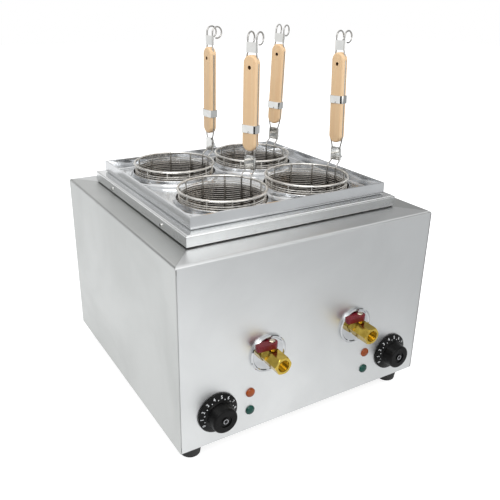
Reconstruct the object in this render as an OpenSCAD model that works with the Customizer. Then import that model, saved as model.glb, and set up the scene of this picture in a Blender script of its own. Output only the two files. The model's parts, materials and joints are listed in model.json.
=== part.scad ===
// Countertop electric pasta cooker with two tanks and four lift-out wire baskets.
// Millimetres, +Z up, front towards -Y. The origin is on the table, under the middle of the casing.

/* [Casing] */
// Width of the casing
body_w = 450; // [440:1:480]
// Depth of the casing
body_d = 446; // [436:1:480]
// Height of the casing above its feet
body_h = 292; // [286:1:320]
// Thickness of the casing sheet
sheet_t = 1.2; // [0.8:0.1:1.6]
// Outer radius of the folded top edges
bend_r = 4; // [3:0.5:6]
// Open seam beside the front and rear panels
seam_gap = 0.8; // [0.4:0.1:1.2]
// Gap left between two mitred flanges
mitre_gap = 0.3; // [0.1:0.1:0.6]
// Width of the inner return flanges
return_w = 16; // [12:1:20]
// How far the top flange runs in under the tank surround at the sides
flange_lap = 14; // [12:0.5:16]
// Thickness of the base plate
base_t = 1.5; // [1:0.1:2]

/* [Feet] */
// Height of a foot
foot_h = 28; // [24:1:34]
// Diameter of a foot under the base plate
foot_d = 36; // [32:1:38]
// Diameter of a foot on the table
foot_base_d = 30; // [26:1:32]
// From the casing's sides to the middle of a foot
foot_inset = 29; // [26:1:34]
// Depth of the screw recess in a foot
foot_recess = 13; // [10:1:16]
// Diameter of the foot screws
foot_screw_d = 5; // [4:0.5:6]

/* [Tank surround and deck tray] */
// From a tank's inner side wall out to the surround's side
tank_side = 21.3; // [20.3:0.1:22.8]
// From a tank's inner end wall out to the surround's front or back
tank_end = 21; // [20:0.5:23]
// How far the top group sits behind the casing's middle
top_shift = 4; // [2:1:6]
// Height of the surround's skirt
skirt_h = 16.8; // [15:0.2:20]
// Thickness of the surround and tray sheet
top_t = 1.5; // [1.2:0.1:1.8]
// Outer bend radius of the surround's top edge
surround_bend_r = 3; // [2:0.5:4]
// Width of the surround's ledge, the part under the tray included
ledge_w = 22.5; // [22:0.5:24]
// Width of the step from the surround's side to the tray's wall
step_side = 13; // [11.5:0.5:14]
// Width of the step from the surround's front or back to the tray's wall
step_end = 13.5; // [12:0.5:14.5]
// Height of the deck tray's wall
tray_h = 19.7; // [16:0.1:24]
// Outer bend radius at the foot of the tray's wall
tray_bend_r = 4; // [3:0.5:5]
// Depth of the folded hem along the tray's rim
hem_h = 5; // [3:0.5:7]
// Clear radius of a basket hole in the tray
hole_r = 70; // [69:0.5:71]
// Height of the drawn collar round a hole, from the tray's underside
collar_h = 11.2; // [10:0.2:13]
// Outer bend radius at the foot of a collar
collar_bend_r = 7.5; // [6:0.5:8]
// From the surround's lower edge up to its side screws
screw_rise = 6; // [5:0.5:8]
// Half the spacing of the two screws on a side
screw_half = 100; // [90:1:120]

/* [Tanks and heating] */
// Inner width of a tank
tank_w = 160; // [156:1:162]
// Inner length of a tank
tank_l = 320; // [314:1:322]
// Depth of a tank below its flange
tank_depth = 182; // [176:1:190]
// Sheet thickness of a tank
tank_t = 1.2; // [1:0.1:1.5]
// Inner radius of a tank's upright corners
tank_corner_r = 10; // [6:1:14]
// Space between the two tanks
tank_gap = 8; // [6:1:10]
// Thickness of the gasket under the tank flanges
gasket_t = 1; // [0.8:0.1:2]
// Height of the flange upstand that takes the side screws
upstand_h = 12; // [10:0.5:14]
// Diameter of the heater tube
heater_d = 8.5; // [7:0.5:10]
// Height of the heater tube's middle over the tank floor
heater_rise = 25; // [20:1:30]
// Height of the heater guard over the tank floor
guard_h = 54; // [50:1:58]
// Sheet thickness of the heater guard
guard_t = 1.5; // [1:0.1:2]

/* [Drain valves] */
// From the middle plane to a valve's axis
valve_x = 82; // [76:1:90]
// Height of the drain's axis over the tank floor
drain_rise = 12.8; // [12.2:0.1:15]
// Outer diameter of the drain spigot
spigot_d = 20; // [18:0.5:20]
// Wall of the drain spigot
spigot_wall = 1.5; // [1:0.1:2]
// Diameter of the valve's round neck
neck_d = 24; // [23:0.5:25]
// Width across the flats of the valve's hexagon
valve_af = 25; // [24:0.5:27]
// From the panel to the valve's outlet
outlet_reach = 42; // [40:1:48]
// Minor radius of the outlet's G1/2 thread
outlet_r = 9.3; // [9:0.1:9.5]
// Depth of the outlet's thread
outlet_depth = 15; // [12:1:16]
// From the panel to the valve's stem
stem_reach = 11; // [10.5:0.5:13]
// Radius of the valve ball
ball_r = 8; // [7:0.25:8]
// Radius of the way through the ball
port_r = 5; // [4:0.25:6]
// Diameter of the valve's stem
stem_d = 6; // [5:0.5:7]
// Diameter of the chrome escutcheon
escutcheon_d = 60; // [54:1:64]
// How far the escutcheon stands off the panel
escutcheon_h = 4.5; // [3:0.5:5]
// Length of the lever from the stem
lever_l = 27; // [24:1:34]
// Thickness of the lever
lever_t = 9; // [7:0.5:10]
// Height of the lever's underside over the valve's axis
lever_rise = 15.5; // [15:0.5:18]

/* [Controls] */
// From the casing's side to a knob's axis
knob_side = 59.4; // [55:0.2:65]
// Height of the knobs over the casing's bottom
knob_rise = 51.5; // [48:0.5:56]
// Diameter of the knob's dial skirt
dial_d = 63; // [56:1:66]
// Diameter of the knob's grip
grip_d = 41; // [36:1:44]
// From the panel to the front of the knob
knob_reach = 26; // [22:1:30]
// Gap between the dial and the panel
dial_gap = 1; // [0.6:0.1:2]
// Diameter of the thermostat's shaft
shaft_d = 6; // [5:0.5:7]
// From the casing's side to the lamps
lamp_side = 114.7; // [111:0.1:121]
// Height of the amber lamps over the casing's bottom
amber_rise = 65.3; // [62:0.1:70]
// Height of the green lamps over the casing's bottom
green_rise = 34.2; // [30:0.1:40]
// Diameter of a lamp's lens
lamp_d = 15; // [13:0.5:17]

/* [Rear] */
// From the casing's side to the cable gland
gland_side = 75; // [65:1:85]
// Height of the cable gland over the casing's bottom
gland_rise = 45; // [40:1:60]
// Bore of the cable gland
gland_bore = 9; // [7:0.5:11]
// How far the gland's bend sleeve reaches out of the rear panel
gland_reach = 42; // [38:1:46]

/* [Baskets] */
// Radius of the rim wire's middle line
basket_r = 67.5; // [66:0.5:68]
// Height of a basket from its lowest ring to the rim wire
basket_h = 169.2; // [164:0.2:176]
// Half the spacing of the baskets from side to side
basket_dx = 78.5; // [78:0.5:80]
// Half the spacing of the baskets from front to back
basket_dy = 85; // [83:0.5:86]
// Diameter of the rim wire
rim_wire_d = 3.6; // [3:0.2:4]
// Diameter of the upright rib wires
rib_wire_d = 2.4; // [2:0.2:2.8]
// Diameter of the ring wires
ring_wire_d = 1.4; // [1.2:0.1:1.6]
// Spacing of the ring wires
ring_pitch = 3.3; // [3:0.1:6]
// From the rim wire down to the first ring
first_ring = 8.5; // [6:0.5:12]
// Number of places round the rim, one of them taken by the handle
rib_places = 11; // [7:1:15]
// Bend radius at the foot of the ribs
rib_bend_r = 18; // [14:1:22]
// Radius of the ring where the ribs meet under the basket
hub_ring_r = 14; // [12:1:18]

/* [Handles] */
// Diameter of the handle wires
handle_wire_d = 2.5; // [2:0.1:3]
// From the rim wire out to the handle's middle plane
handle_out = 6; // [5:0.5:8]
// Height of the hook tab's lower edge over the rim
tab_low = 12; // [10:0.5:14]
// Height of the hook tab
tab_h = 23; // [20:0.5:25]
// Half the spacing of the wires at the tab
tab_half = 8.5; // [8:0.5:9]
// How far the tab's flap stands out at its lower end
flap_out = 11; // [9:0.5:13]
// Height of the wooden grip's lower end over the rim
wood_low = 43; // [42:0.5:46]
// Length of the wooden grip
wood_l = 144.5; // [130:0.5:160]
// Width of the wooden grip
wood_w = 25.5; // [24:0.5:27]
// Thickness of the wooden grip
wood_t = 13; // [11:0.5:15]
// From the grip's top down to its hole
wood_hole_drop = 18; // [16:0.5:24]
// Diameter of the hole in the grip
wood_hole_d = 6; // [4:0.5:7]
// Height of the top plate
plate_h = 15; // [12:0.5:16]
// Half the spacing of the wires at the top plate
plate_half = 8; // [7.5:0.5:8.5]
// Radius of the hooks' curl
hook_r = 9; // [8:0.5:10]
// How far a hook curls round
hook_turn = 285; // [240:5:290]
// Height of the sliding band
band_h = 12.4; // [10:0.2:15]
// Thickness of the sliding band
band_t = 0.8; // [0.5:0.1:1.2]

/* [Hidden] */
// Each basket's row of values: sideways place, depthwise place, handle's turn, handle's lean, band's height
BACK_LEFT = [-1, 1, 5.5, 0.5, 35];
BACK_RIGHT = [1, 1, 24.5, 1.9, 35];
FRONT_LEFT = [-1, -1, 24.5, 0, 35];
FRONT_RIGHT = [1, -1, 12, -2.2, 71];

// Clearances
touch_gap = 0.1;
slide_gap = 0.3;
fit_gap = 0.3;
seat_gap = 0.3;
// How far a cutting shape runs past the faces that it cuts
over = 1;

// Heights
z_case = foot_h;
z_top = foot_h + body_h;
z_flange = z_top + gasket_t;
z_skirt = z_flange + tank_t;
z_ledge = z_skirt + skirt_h;
z_floor = z_skirt - tank_depth;
z_guard = z_floor + guard_h;
z_rim = z_guard + seat_gap + basket_h;
z_valve = z_floor + drain_rise;
z_knob = z_case + knob_rise;

// Tanks
tank_x = tank_gap / 2 + tank_t + tank_w / 2;
tank_front = top_shift - tank_l / 2;
tank_back = top_shift + tank_l / 2;
surround_w = 2 * (tank_x + tank_w / 2 + tank_side);
surround_d = tank_l + 2 * tank_end;
tray_w = surround_w - 2 * step_side;
tray_d = surround_d - 2 * step_end;
flange_x = surround_w / 2 - top_t - touch_gap;
flange_y = surround_d / 2 - top_t - touch_gap;
flange_split = 0.5;
heater_r = heater_d / 2;
heater_bend_r = 16;
heater_inner = 20;
heater_outer = 60;
heater_end_gap = 36;
bulb_rise = 42;
bulb_r = 3;
bulb_l = 90;
capillary_r = 1;

// Casing
front_y = -body_d / 2;
panel_back_y = front_y + sheet_t;
knob_x = body_w / 2 - knob_side;
lamp_x = body_w / 2 - lamp_side;
gland_x = body_w / 2 - gland_side;
side_margin = (body_w - surround_w) / 2;
front_margin = body_d / 2 + top_shift - surround_d / 2;
rear_margin = body_d / 2 - top_shift - surround_d / 2;
side_flange = side_margin + flange_lap;
front_flange = front_margin * side_flange / side_margin;
rear_flange = rear_margin * side_flange / side_margin;
foot_x = body_w / 2 - foot_inset;
foot_y = body_d / 2 - foot_inset;
screw_play = 0.2;
slot_w = 5;
slot_l = 46;
slot_pitch = 12;

// Valve
neck_r = neck_d / 2;
neck_back = 16;
hex_start = 5;
stem_y = front_y - stem_reach;
boss_r = 6;

// Screws, lamps and gland
side_screw_r = 1.6;
side_head_r = 3.4;
lamp_lip = 1.6;
lamp_barrel_r = lamp_d / 2 - lamp_lip;
gland_wall = 3.5;
gland_thread_r = gland_bore / 2 + gland_wall;

// Basket
rim_r = rim_wire_d / 2;
rib_r = rib_wire_d / 2;
ring_r = ring_wire_d / 2;
hub_wire_r = 1.15 * rib_r;
rib_path_r = basket_r - rim_r - rib_r - touch_gap;
ring_off = rib_r + ring_r + touch_gap;
// The ribs' lower run, measured from the rim wire
spoke_z = -basket_h + ring_off + ring_r;

// Handle
wire_r = handle_wire_d / 2;
handle_x = basket_r + handle_out;
wire_path_r = basket_r - rim_r - wire_r - touch_gap;
wire_side = 9.1;
wire_foot = 30;
wire_over = 4;
groove_r = wire_r + touch_gap;
groove_depth = 1.15;
wood_half = wood_w / 2 - groove_depth;
wood_edge_r = 4.5;
wood_end_r = 5;
wood_top = wood_low + wood_l;
plate_gap = 2;
plate_low = wood_top + plate_gap;
hook_rise = 6;
hook_z = plate_low + plate_h + hook_rise;
knuckle_gap = 0.15;
knuckle_swell = 1.05;
curl_t = 0.8;

// Shared shapes

// A rectangle about the origin with round corners
module rounded_rect(w, d, r) {
  square([w - 2 * r, d], center = true);
  square([w, d - 2 * r], center = true);
  for (x = [-1, 1], y = [-1, 1])
    translate([x * (w / 2 - r), y * (d / 2 - r)]) circle(r = r, $fn = 48);
}

// A slot with round ends along X
module slot(l, w) {
  square([l - w, w], center = true);
  for (x = [-1, 1]) translate([x * (l - w) / 2, 0]) circle(d = w, $fn = 24);
}

// A quarter of a bent sheet: outer radius r, its outer faces on the axes
module bend(r, t) {
  translate([r, r])
    intersection() {
      difference() {
        circle(r = r, $fn = 48);
        circle(r = r - t, $fn = 48);
      }
      translate([-r, -r]) square([r, r]);
    }
}

// A flat drawing stood up and run along X: its X points to +Y and its Y to +Z
module run_along_x(l) {
  translate([-l / 2, 0, 0]) rotate([90, 0, 90]) linear_extrude(l) children();
}

// A drawing revolved about an axis that points to -Y, with its Y along that axis
module turn_front(x, z) {
  translate([x, front_y, z]) rotate([90, 0, 0]) rotate_extrude($fn = 72) children();
}

// A rectangular ring of bent sheet with mitred corners; the drawing's X runs inwards, its Y up
module mitred_ring(w, d, reach, h) {
  for (side = [0 : 3]) {
    run = side % 2 == 0 ? w : d;
    off = side % 2 == 0 ? d / 2 : w / 2;
    rotate([0, 0, 90 * side])
      intersection() {
        translate([0, -off, 0]) run_along_x(run) children();
        translate([0, 0, -over])
          linear_extrude(h + 2 * over)
            polygon([
              [-run / 2 - over, -off - over], [run / 2 + over, -off - over],
              [run / 2 - reach, -off + reach], [-run / 2 + reach, -off + reach]
            ]);
      }
  }
}

function unit(v) = v / norm(v);
function turn_between(u, v) = acos(max(-1, min(1, u * v)));

// A straight wire between two points
module rod(a, b, r) {
  d = b - a;
  translate(a)
    rotate([0, acos(d.z / norm(d)), atan2(d.y, d.x)])
      cylinder(r = r, h = norm(d), $fn = 24);
}

// A round bend that starts at a point in direction u and turns towards w
module elbow(start, u, w, turn, bend_radius, r) {
  n = cross(u, w);
  c = start + w * bend_radius;
  multmatrix([
    [-w.x, u.x, n.x, c.x],
    [-w.y, u.y, n.y, c.y],
    [-w.z, u.z, n.z, c.z],
    [0, 0, 0, 1]
  ])
    rotate_extrude(angle = turn, $fn = 48)
      translate([bend_radius, 0]) circle(r = r, $fn = 24);
}

// A wire that follows points, with a round bend at each corner
module bent_wire(points, bend_radius, r) {
  last = len(points) - 1;
  dirs = [for (i = [0 : last - 1]) unit(points[i + 1] - points[i])];
  trims = [
    for (i = [0 : last])
      i == 0 || i == last ? 0 : bend_radius * tan(turn_between(dirs[i - 1], dirs[i]) / 2)
  ];
  union() {
    for (i = [0 : last - 1])
      rod(points[i] + dirs[i] * trims[i], points[i + 1] - dirs[i] * trims[i + 1], r);
    for (i = [1 : last - 1]) {
      u = dirs[i - 1];
      v = dirs[i];
      elbow(points[i] - u * trims[i], u, unit(v - (v * u) * u), turn_between(u, v), bend_radius, r);
    }
  }
}

// A wire that follows points; at each corner the straight lengths stop short inside a round knuckle
module kinked_wire(points, r, end_trim) {
  last = len(points) - 1;
  dirs = [for (i = [0 : last - 1]) unit(points[i + 1] - points[i])];
  trims = [
    for (i = [0 : last])
      i == 0 ? 0 : i == last ? end_trim : r * tan(turn_between(dirs[i - 1], dirs[i]) / 2) + knuckle_gap
  ];
  union() {
    for (i = [0 : last - 1])
      rod(points[i] + dirs[i] * trims[i], points[i + 1] - dirs[i] * trims[i + 1], r);
    for (i = [1 : last - 1]) knuckle(points[i], r, trims[i]);
  }
}

// A knuckle that swallows the ends of two lengths of wire
module knuckle(at, r, trim) {
  translate(at) sphere(r = norm([r, trim]) * knuckle_swell, $fn = 32);
}

// Casing

// The folded upper edge of a panel with its flange, cut along the mitres
module panel_fold(l, flange, mitre_side_a, mitre_side_b) {
  intersection() {
    run_along_x(l)
      union() {
        translate([0, body_h]) mirror([0, 1]) bend(bend_r, sheet_t);
        translate([bend_r, body_h - sheet_t]) square([flange - bend_r, sheet_t]);
      }
    translate([0, 0, body_h - bend_r - over])
      linear_extrude(bend_r + 2 * over)
        polygon([
          [-l / 2 + mitre_gap / 2, 0], [l / 2 - mitre_gap / 2, 0],
          [l / 2 - mitre_gap / 2 - mitre_side_b * (flange + over) / flange, flange + over],
          [-l / 2 + mitre_gap / 2 + mitre_side_a * (flange + over) / flange, flange + over]
        ]);
  }
}

// The upright sheet of a panel with its foot return, which stands on the base plate
module panel_sheet(w, return_l) {
  translate([-w / 2, 0, 0]) cube([w, sheet_t, body_h - bend_r]);
  translate([-return_l / 2, 0, base_t]) cube([return_l, return_w, sheet_t]);
}

module end_panel(flange) {
  panel_sheet(body_w - 2 * (sheet_t + seam_gap), body_w - 2 * (return_w + foot_inset / 4));
  panel_fold(body_w, flange, side_flange, side_flange);
}

// The holes that the controls and drains pass through
module front_holes() {
  shaft_play = 1;
  for (s = [-1, 1]) {
    front_hole(s * valve_x, z_valve, neck_r + fit_gap);
    front_hole(s * knob_x, z_knob, shaft_d / 2 + shaft_play);
    for (z = [amber_rise, green_rise]) front_hole(s * lamp_x, z_case + z, lamp_barrel_r + touch_gap);
  }
}

module front_hole(x, z, r) {
  turn_front(x, z) translate([0, -sheet_t - over]) square([r, sheet_t + 2 * over]);
}

module front_panel() {
  color("silver")
    difference() {
      translate([0, front_y, z_case]) end_panel(front_flange);
      front_holes();
    }
}

// Two rows of upright cooling slots at the rear panel's mid height
module rear_slots() {
  each_way = 3;
  for (s = [-1, 1], i = [-each_way : each_way])
    translate([s * body_w / 5 + i * slot_pitch, body_d / 2 + over, z_case + body_h / 2])
      rotate([90, 90, 0]) linear_extrude(sheet_t + 2 * over) slot(slot_l, slot_w);
}

module rear_panel() {
  color("silver")
    difference() {
      translate([0, body_d / 2, z_case]) rotate([0, 0, 180]) end_panel(rear_flange);
      rear_slots();
      translate([gland_x, body_d / 2 + over, z_case + gland_rise])
        rotate([90, 0, 0]) cylinder(r = gland_thread_r + touch_gap, h = sheet_t + 2 * over, $fn = 48);
    }
}

// A side panel about its own middle, outer face on the XZ plane
module side_panel(mitre_a, mitre_b) {
  panel_sheet(body_d, body_d - 2 * (return_w + foot_inset / 4));
  panel_fold(body_d, side_flange, mitre_a, mitre_b);
  for (s = [-1, 1])
    translate([s * (body_d / 2 - 1.5 * sheet_t) - sheet_t / 2, 0, base_t + return_w / 2])
      cube([sheet_t, return_w, body_h - bend_r - base_t - return_w]);
}

module left_panel() {
  color("silver")
    translate([-body_w / 2, 0, z_case]) rotate([0, 0, -90]) side_panel(rear_flange, front_flange);
}

module right_panel() {
  color("silver")
    translate([body_w / 2, 0, z_case]) rotate([0, 0, 90]) side_panel(front_flange, rear_flange);
}

module base_plate() {
  each_way = 4;
  color("gainsboro")
    translate([0, 0, z_case])
      difference() {
        translate([0, 0, base_t / 2])
          cube([body_w - 2 * (sheet_t + fit_gap), body_d - 2 * (sheet_t + fit_gap), base_t], center = true);
        for (x = [-1, 1], y = [-1, 1])
          translate([x * foot_x, y * foot_y, -over])
            cylinder(d = foot_screw_d + 2 * screw_play, h = base_t + 2 * over, $fn = 32);
        for (x = [-1, 1], i = [-each_way : each_way])
          translate([x * body_w / 6, i * slot_pitch * 2, -over])
            linear_extrude(base_t + 2 * over) slot(slot_l, slot_w);
      }
}

module feet() {
  edge = 1.5;
  collar_h = 6;
  head_play = 1;
  color("black")
    for (x = [-1, 1], y = [-1, 1])
      translate([x * foot_x, y * foot_y, 0])
        difference() {
          rotate_extrude($fn = 64)
            polygon([
              [0, 0], [foot_base_d / 2 - edge, 0], [foot_base_d / 2, edge],
              [foot_d / 2, foot_h - collar_h], [foot_d / 2, foot_h], [0, foot_h]
            ]);
          translate([0, 0, -over]) cylinder(r = foot_screw_d + head_play, h = foot_recess + over, $fn = 48);
          translate([0, 0, -over])
            cylinder(d = foot_screw_d + 2 * screw_play, h = foot_h + 2 * over, $fn = 32);
        }
}

module foot_screws() {
  clamped = foot_h - foot_recess + base_t;
  head_h = 3;
  nut_h = 4;
  nut_r = 0.9 * foot_screw_d;
  thread_end = 3;
  color("silver")
    for (x = [-1, 1], y = [-1, 1])
      translate([x * foot_x, y * foot_y, foot_recess]) {
        translate([0, 0, -head_h]) cylinder(r = foot_screw_d, h = head_h, $fn = 48);
        cylinder(d = foot_screw_d, h = clamped + nut_h + thread_end, $fn = 32);
        translate([0, 0, clamped]) cylinder(r = nut_r, h = nut_h, $fn = 6);
      }
}

// Tanks and top

module tank_gasket() {
  edge_back = 1;
  tank_play = 2;
  color("dimgray")
    translate([0, top_shift, z_top])
      linear_extrude(gasket_t)
        difference() {
          square([2 * (flange_x - edge_back), 2 * (flange_y - edge_back)], center = true);
          square([body_w - 2 * (side_flange - edge_back), tank_l + 2 * (tank_t + tank_play)], center = true);
        }
}

// One tank with its flange, screw upstand and drain spigot
module tank(s) {
  spigot_short = 3;
  spigot_l = tank_front - front_y + tank_t / 2 - spigot_short;
  color("lightgray")
    difference() {
      union() {
        translate([s * tank_x, top_shift, z_floor - tank_t])
          linear_extrude(tank_depth + tank_t)
            rounded_rect(tank_w + 2 * tank_t, tank_l + 2 * tank_t, tank_corner_r + tank_t);
        translate([s > 0 ? flange_split : -flange_x, top_shift - flange_y, z_flange])
          cube([flange_x - flange_split, 2 * flange_y, tank_t]);
        translate([s > 0 ? flange_x - tank_t : -flange_x, top_shift - flange_y, z_flange])
          cube([tank_t, 2 * flange_y, tank_t + upstand_h]);
        turn_front(s * valve_x, z_valve)
          translate([0, front_y - tank_front - tank_t / 2]) square([spigot_d / 2, spigot_l]);
      }
      translate([s * tank_x, top_shift, z_floor])
        linear_extrude(tank_depth + upstand_h) rounded_rect(tank_w, tank_l, tank_corner_r);
      turn_front(s * valve_x, z_valve)
        translate([0, front_y - tank_front - 2 * tank_t])
          square([spigot_d / 2 - spigot_wall, tank_front - front_y + 4 * tank_t]);
      for (y = [-1, 1])
        translate([s * (flange_x + over), top_shift + y * screw_half, z_skirt + screw_rise])
          rotate([0, -s * 90, 0]) cylinder(r = side_screw_r + touch_gap, h = tank_t + 2 * over, $fn = 24);
      for (x = [-1, 1])
        translate([s * tank_x + x * heater_outer, tank_back - over, z_floor + heater_rise])
          rotate([-90, 0, 0]) cylinder(r = heater_r + touch_gap, h = tank_t + 2 * over, $fn = 32);
      translate([s * tank_x, tank_front + over, z_floor + bulb_rise])
        rotate([90, 0, 0]) cylinder(r = bulb_r + fit_gap, h = tank_t + 2 * over, $fn = 32);
    }
}

module surround() {
  color("silver")
    difference() {
      translate([0, top_shift, z_skirt])
        mitred_ring(surround_w, surround_d, ledge_w + over, skirt_h) {
          union() {
            square([top_t, skirt_h - surround_bend_r]);
            translate([0, skirt_h]) mirror([0, 1]) bend(surround_bend_r, top_t);
            translate([surround_bend_r, skirt_h - top_t]) square([ledge_w - surround_bend_r, top_t]);
          }
        }
      for (x = [-1, 1], y = [-1, 1])
        translate([x * (surround_w / 2 + over), top_shift + y * screw_half, z_skirt + screw_rise])
          rotate([0, -x * 90, 0]) cylinder(r = side_screw_r + touch_gap, h = top_t + 2 * over, $fn = 24);
    }
}

module surround_screws() {
  head_h = 2.2;
  dome_r = 1.6 * side_head_r;
  shank_l = 8;
  color("silver")
    for (x = [-1, 1], y = [-1, 1])
      translate([x * surround_w / 2, top_shift + y * screw_half, z_skirt + screw_rise])
        rotate([0, x * 90, 0])
          union() {
            rotate_extrude($fn = 48)
              intersection() {
                translate([0, head_h - dome_r]) circle(r = dome_r, $fn = 64);
                square([side_head_r, head_h + over]);
              }
            translate([0, 0, -shank_l]) cylinder(r = side_screw_r, h = shank_l + head_h / 4, $fn = 24);
          }
}

// Half section of a hole's collar: a bend out of the floor, an upright neck and a rounded lip
module collar_profile() {
  lip_r = top_t / 2;
  union() {
    bend(collar_bend_r, top_t);
    translate([0, collar_bend_r]) square([top_t, collar_h - collar_bend_r - lip_r]);
    translate([lip_r, collar_h - lip_r]) circle(r = lip_r, $fn = 24);
  }
}

module deck_tray() {
  color("gainsboro")
    translate([0, top_shift, z_ledge])
      union() {
        mitred_ring(tray_w, tray_d, tray_bend_r + 2 * top_t, tray_h) {
          union() {
            bend(tray_bend_r, top_t);
            translate([0, tray_bend_r]) square([top_t, tray_h - tray_bend_r]);
            translate([0, tray_h - hem_h]) square([2 * top_t, hem_h]);
          }
        }
        difference() {
          translate([0, 0, top_t / 2])
            cube([tray_w - 2 * tray_bend_r, tray_d - 2 * tray_bend_r, top_t], center = true);
          for (x = [-1, 1], y = [-1, 1])
            translate([x * basket_dx, y * basket_dy, -over])
              cylinder(r = hole_r + collar_bend_r, h = top_t + 2 * over, $fn = 96);
        }
        for (x = [-1, 1], y = [-1, 1])
          translate([x * basket_dx, y * basket_dy, 0])
            rotate_extrude($fn = 96) translate([hole_r, 0]) collar_profile();
      }
}

// A tubular heater that enters through the tank's back wall and runs there and back twice
module heater(s) {
  far = tank_front + heater_end_gap;
  near = tank_back - heater_end_gap;
  tail = 22;
  nut_h = 6;
  out = tank_back + tail;
  z = z_floor + heater_rise;
  color("dimgray")
    union() {
      bent_wire(
        [
          for (p = [
            [-heater_outer, out], [-heater_outer, far], [-heater_inner, far], [-heater_inner, near],
            [heater_inner, near], [heater_inner, far], [heater_outer, far], [heater_outer, out]
          ]) [s * tank_x + p.x, p.y, z]
        ],
        heater_bend_r, heater_r
      );
      for (x = [-1, 1])
        translate([s * tank_x + x * heater_outer, tank_back + tank_t, z])
          rotate([-90, 0, 0]) cylinder(r = heater_d, h = nut_h, $fn = 6);
    }
}

// A slotted plate on two side walls, over the heater and under the baskets
module guard(s) {
  play = 2;
  w = tank_w - 2 * play;
  l = tank_l - 2 * (tank_corner_r + play);
  rows = floor(l / 2 / slot_pitch) - 1;
  hole_l = w / 4;
  column_pitch = w / 3.2;
  color("silver")
    translate([s * tank_x, top_shift, z_floor])
      difference() {
        translate([0, 0, guard_h / 2]) cube([w, l, guard_h], center = true);
        translate([0, 0, guard_h / 2 - guard_t])
          cube([w - 2 * guard_t, l + 2 * over, guard_h], center = true);
        for (x = [-1, 0, 1], i = [-rows : rows])
          translate([x * column_pitch, i * slot_pitch, guard_h - guard_t - over])
            linear_extrude(guard_t + 2 * over) slot(hole_l, slot_w);
      }
}

// Drain valves

module escutcheon(s) {
  r = escutcheon_d / 2;
  hole = neck_r + fit_gap;
  wall = 1.4;
  dish_z = 0.8;
  dish_rise = 0.6;
  lip_w = 4.5;
  lip_slope = 1.5;
  edge = 1.2;
  color("white")
    turn_front(s * valve_x, z_valve)
      polygon([
        [hole, dish_z], [hole, dish_z + wall], [r - lip_w, dish_z + wall + dish_rise],
        [r - lip_w + lip_slope, escutcheon_h], [r - edge, escutcheon_h], [r, escutcheon_h - edge],
        [r, 0], [r - wall, 0], [r - wall - dish_rise, escutcheon_h - wall], [r - lip_w, dish_z + dish_rise]
      ]);
}

module valve_body(s) {
  hex_l = outlet_reach - hex_start;
  chamfer = 1.6;
  socket_stop = 2;
  corner_r = valve_af / 2 / cos(30);
  color("goldenrod")
    difference() {
      union() {
        turn_front(s * valve_x, z_valve) translate([0, -neck_back]) square([neck_r, neck_back + hex_start]);
        intersection() {
          translate([s * valve_x, front_y - hex_start, z_valve])
            rotate([90, 0, 0]) cylinder(r = corner_r, h = hex_l, $fn = 6);
          turn_front(s * valve_x, z_valve)
            polygon([
              [0, hex_start - over], [corner_r - chamfer, hex_start - over],
              [corner_r + over, hex_start + chamfer + over], [corner_r + over, outlet_reach - chamfer - over],
              [corner_r - chamfer, outlet_reach], [0, outlet_reach]
            ]);
        }
        translate([s * valve_x, stem_y, z_valve]) cylinder(r = boss_r, h = lever_rise - fit_gap, $fn = 48);
      }
      turn_front(s * valve_x, z_valve)
        union() {
          translate([0, -neck_back - over])
            square([spigot_d / 2 + touch_gap, neck_back + over - socket_stop]);
          translate([0, -neck_back]) square([port_r, neck_back + outlet_reach]);
          translate([0, outlet_reach - outlet_depth]) square([outlet_r, outlet_depth + over]);
        }
      translate([s * valve_x, stem_y, z_valve]) sphere(r = ball_r + fit_gap, $fn = 64);
      translate([s * valve_x, stem_y, z_valve])
        cylinder(r = stem_d / 2 + fit_gap, h = 2 * lever_rise, $fn = 48);
    }
}

// The ball with its stem and the screw that holds the lever; shut, its port lies crosswise
module valve_stem(s) {
  stem_root = 1.5;
  head_r = 4.4;
  head_h = 1.8;
  head_edge = 0.8;
  color("khaki")
    translate([s * valve_x, stem_y, z_valve])
      union() {
        difference() {
          sphere(r = ball_r, $fn = 64);
          rotate([0, 90, 0]) cylinder(r = port_r, h = 4 * ball_r, center = true, $fn = 48);
        }
        translate([0, 0, ball_r - stem_root])
          cylinder(d = stem_d, h = lever_rise + lever_t - ball_r + stem_root + touch_gap, $fn = 48);
        translate([0, 0, lever_rise + lever_t + touch_gap])
          rotate_extrude($fn = 48)
            polygon([
              [0, 0], [head_r, 0], [head_r, head_h - head_edge], [head_r - head_edge, head_h], [0, head_h]
            ]);
      }
}

module valve_lever(s) {
  hub_r = 8;
  tip_r = 4.6;
  run = lever_l - tip_r;
  shoulder = 0.5;
  arm_step = 1.2;
  color("firebrick")
    translate([s * valve_x, stem_y, z_valve + lever_rise])
      difference() {
        union() {
          cylinder(r = hub_r, h = lever_t, $fn = 48);
          linear_extrude(lever_t - arm_step)
            union() {
              translate([-run, 0]) circle(r = tip_r, $fn = 48);
              polygon([
                for (e = [1, -1]) [0, e * (hub_r - shoulder)],
                for (e = [-1, 1]) [-run, e * (tip_r - shoulder)]
              ]);
            }
        }
        translate([0, 0, -over]) cylinder(d = stem_d + 2 * touch_gap, h = lever_t + 2 * over, $fn = 48);
      }
}

// Controls

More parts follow.
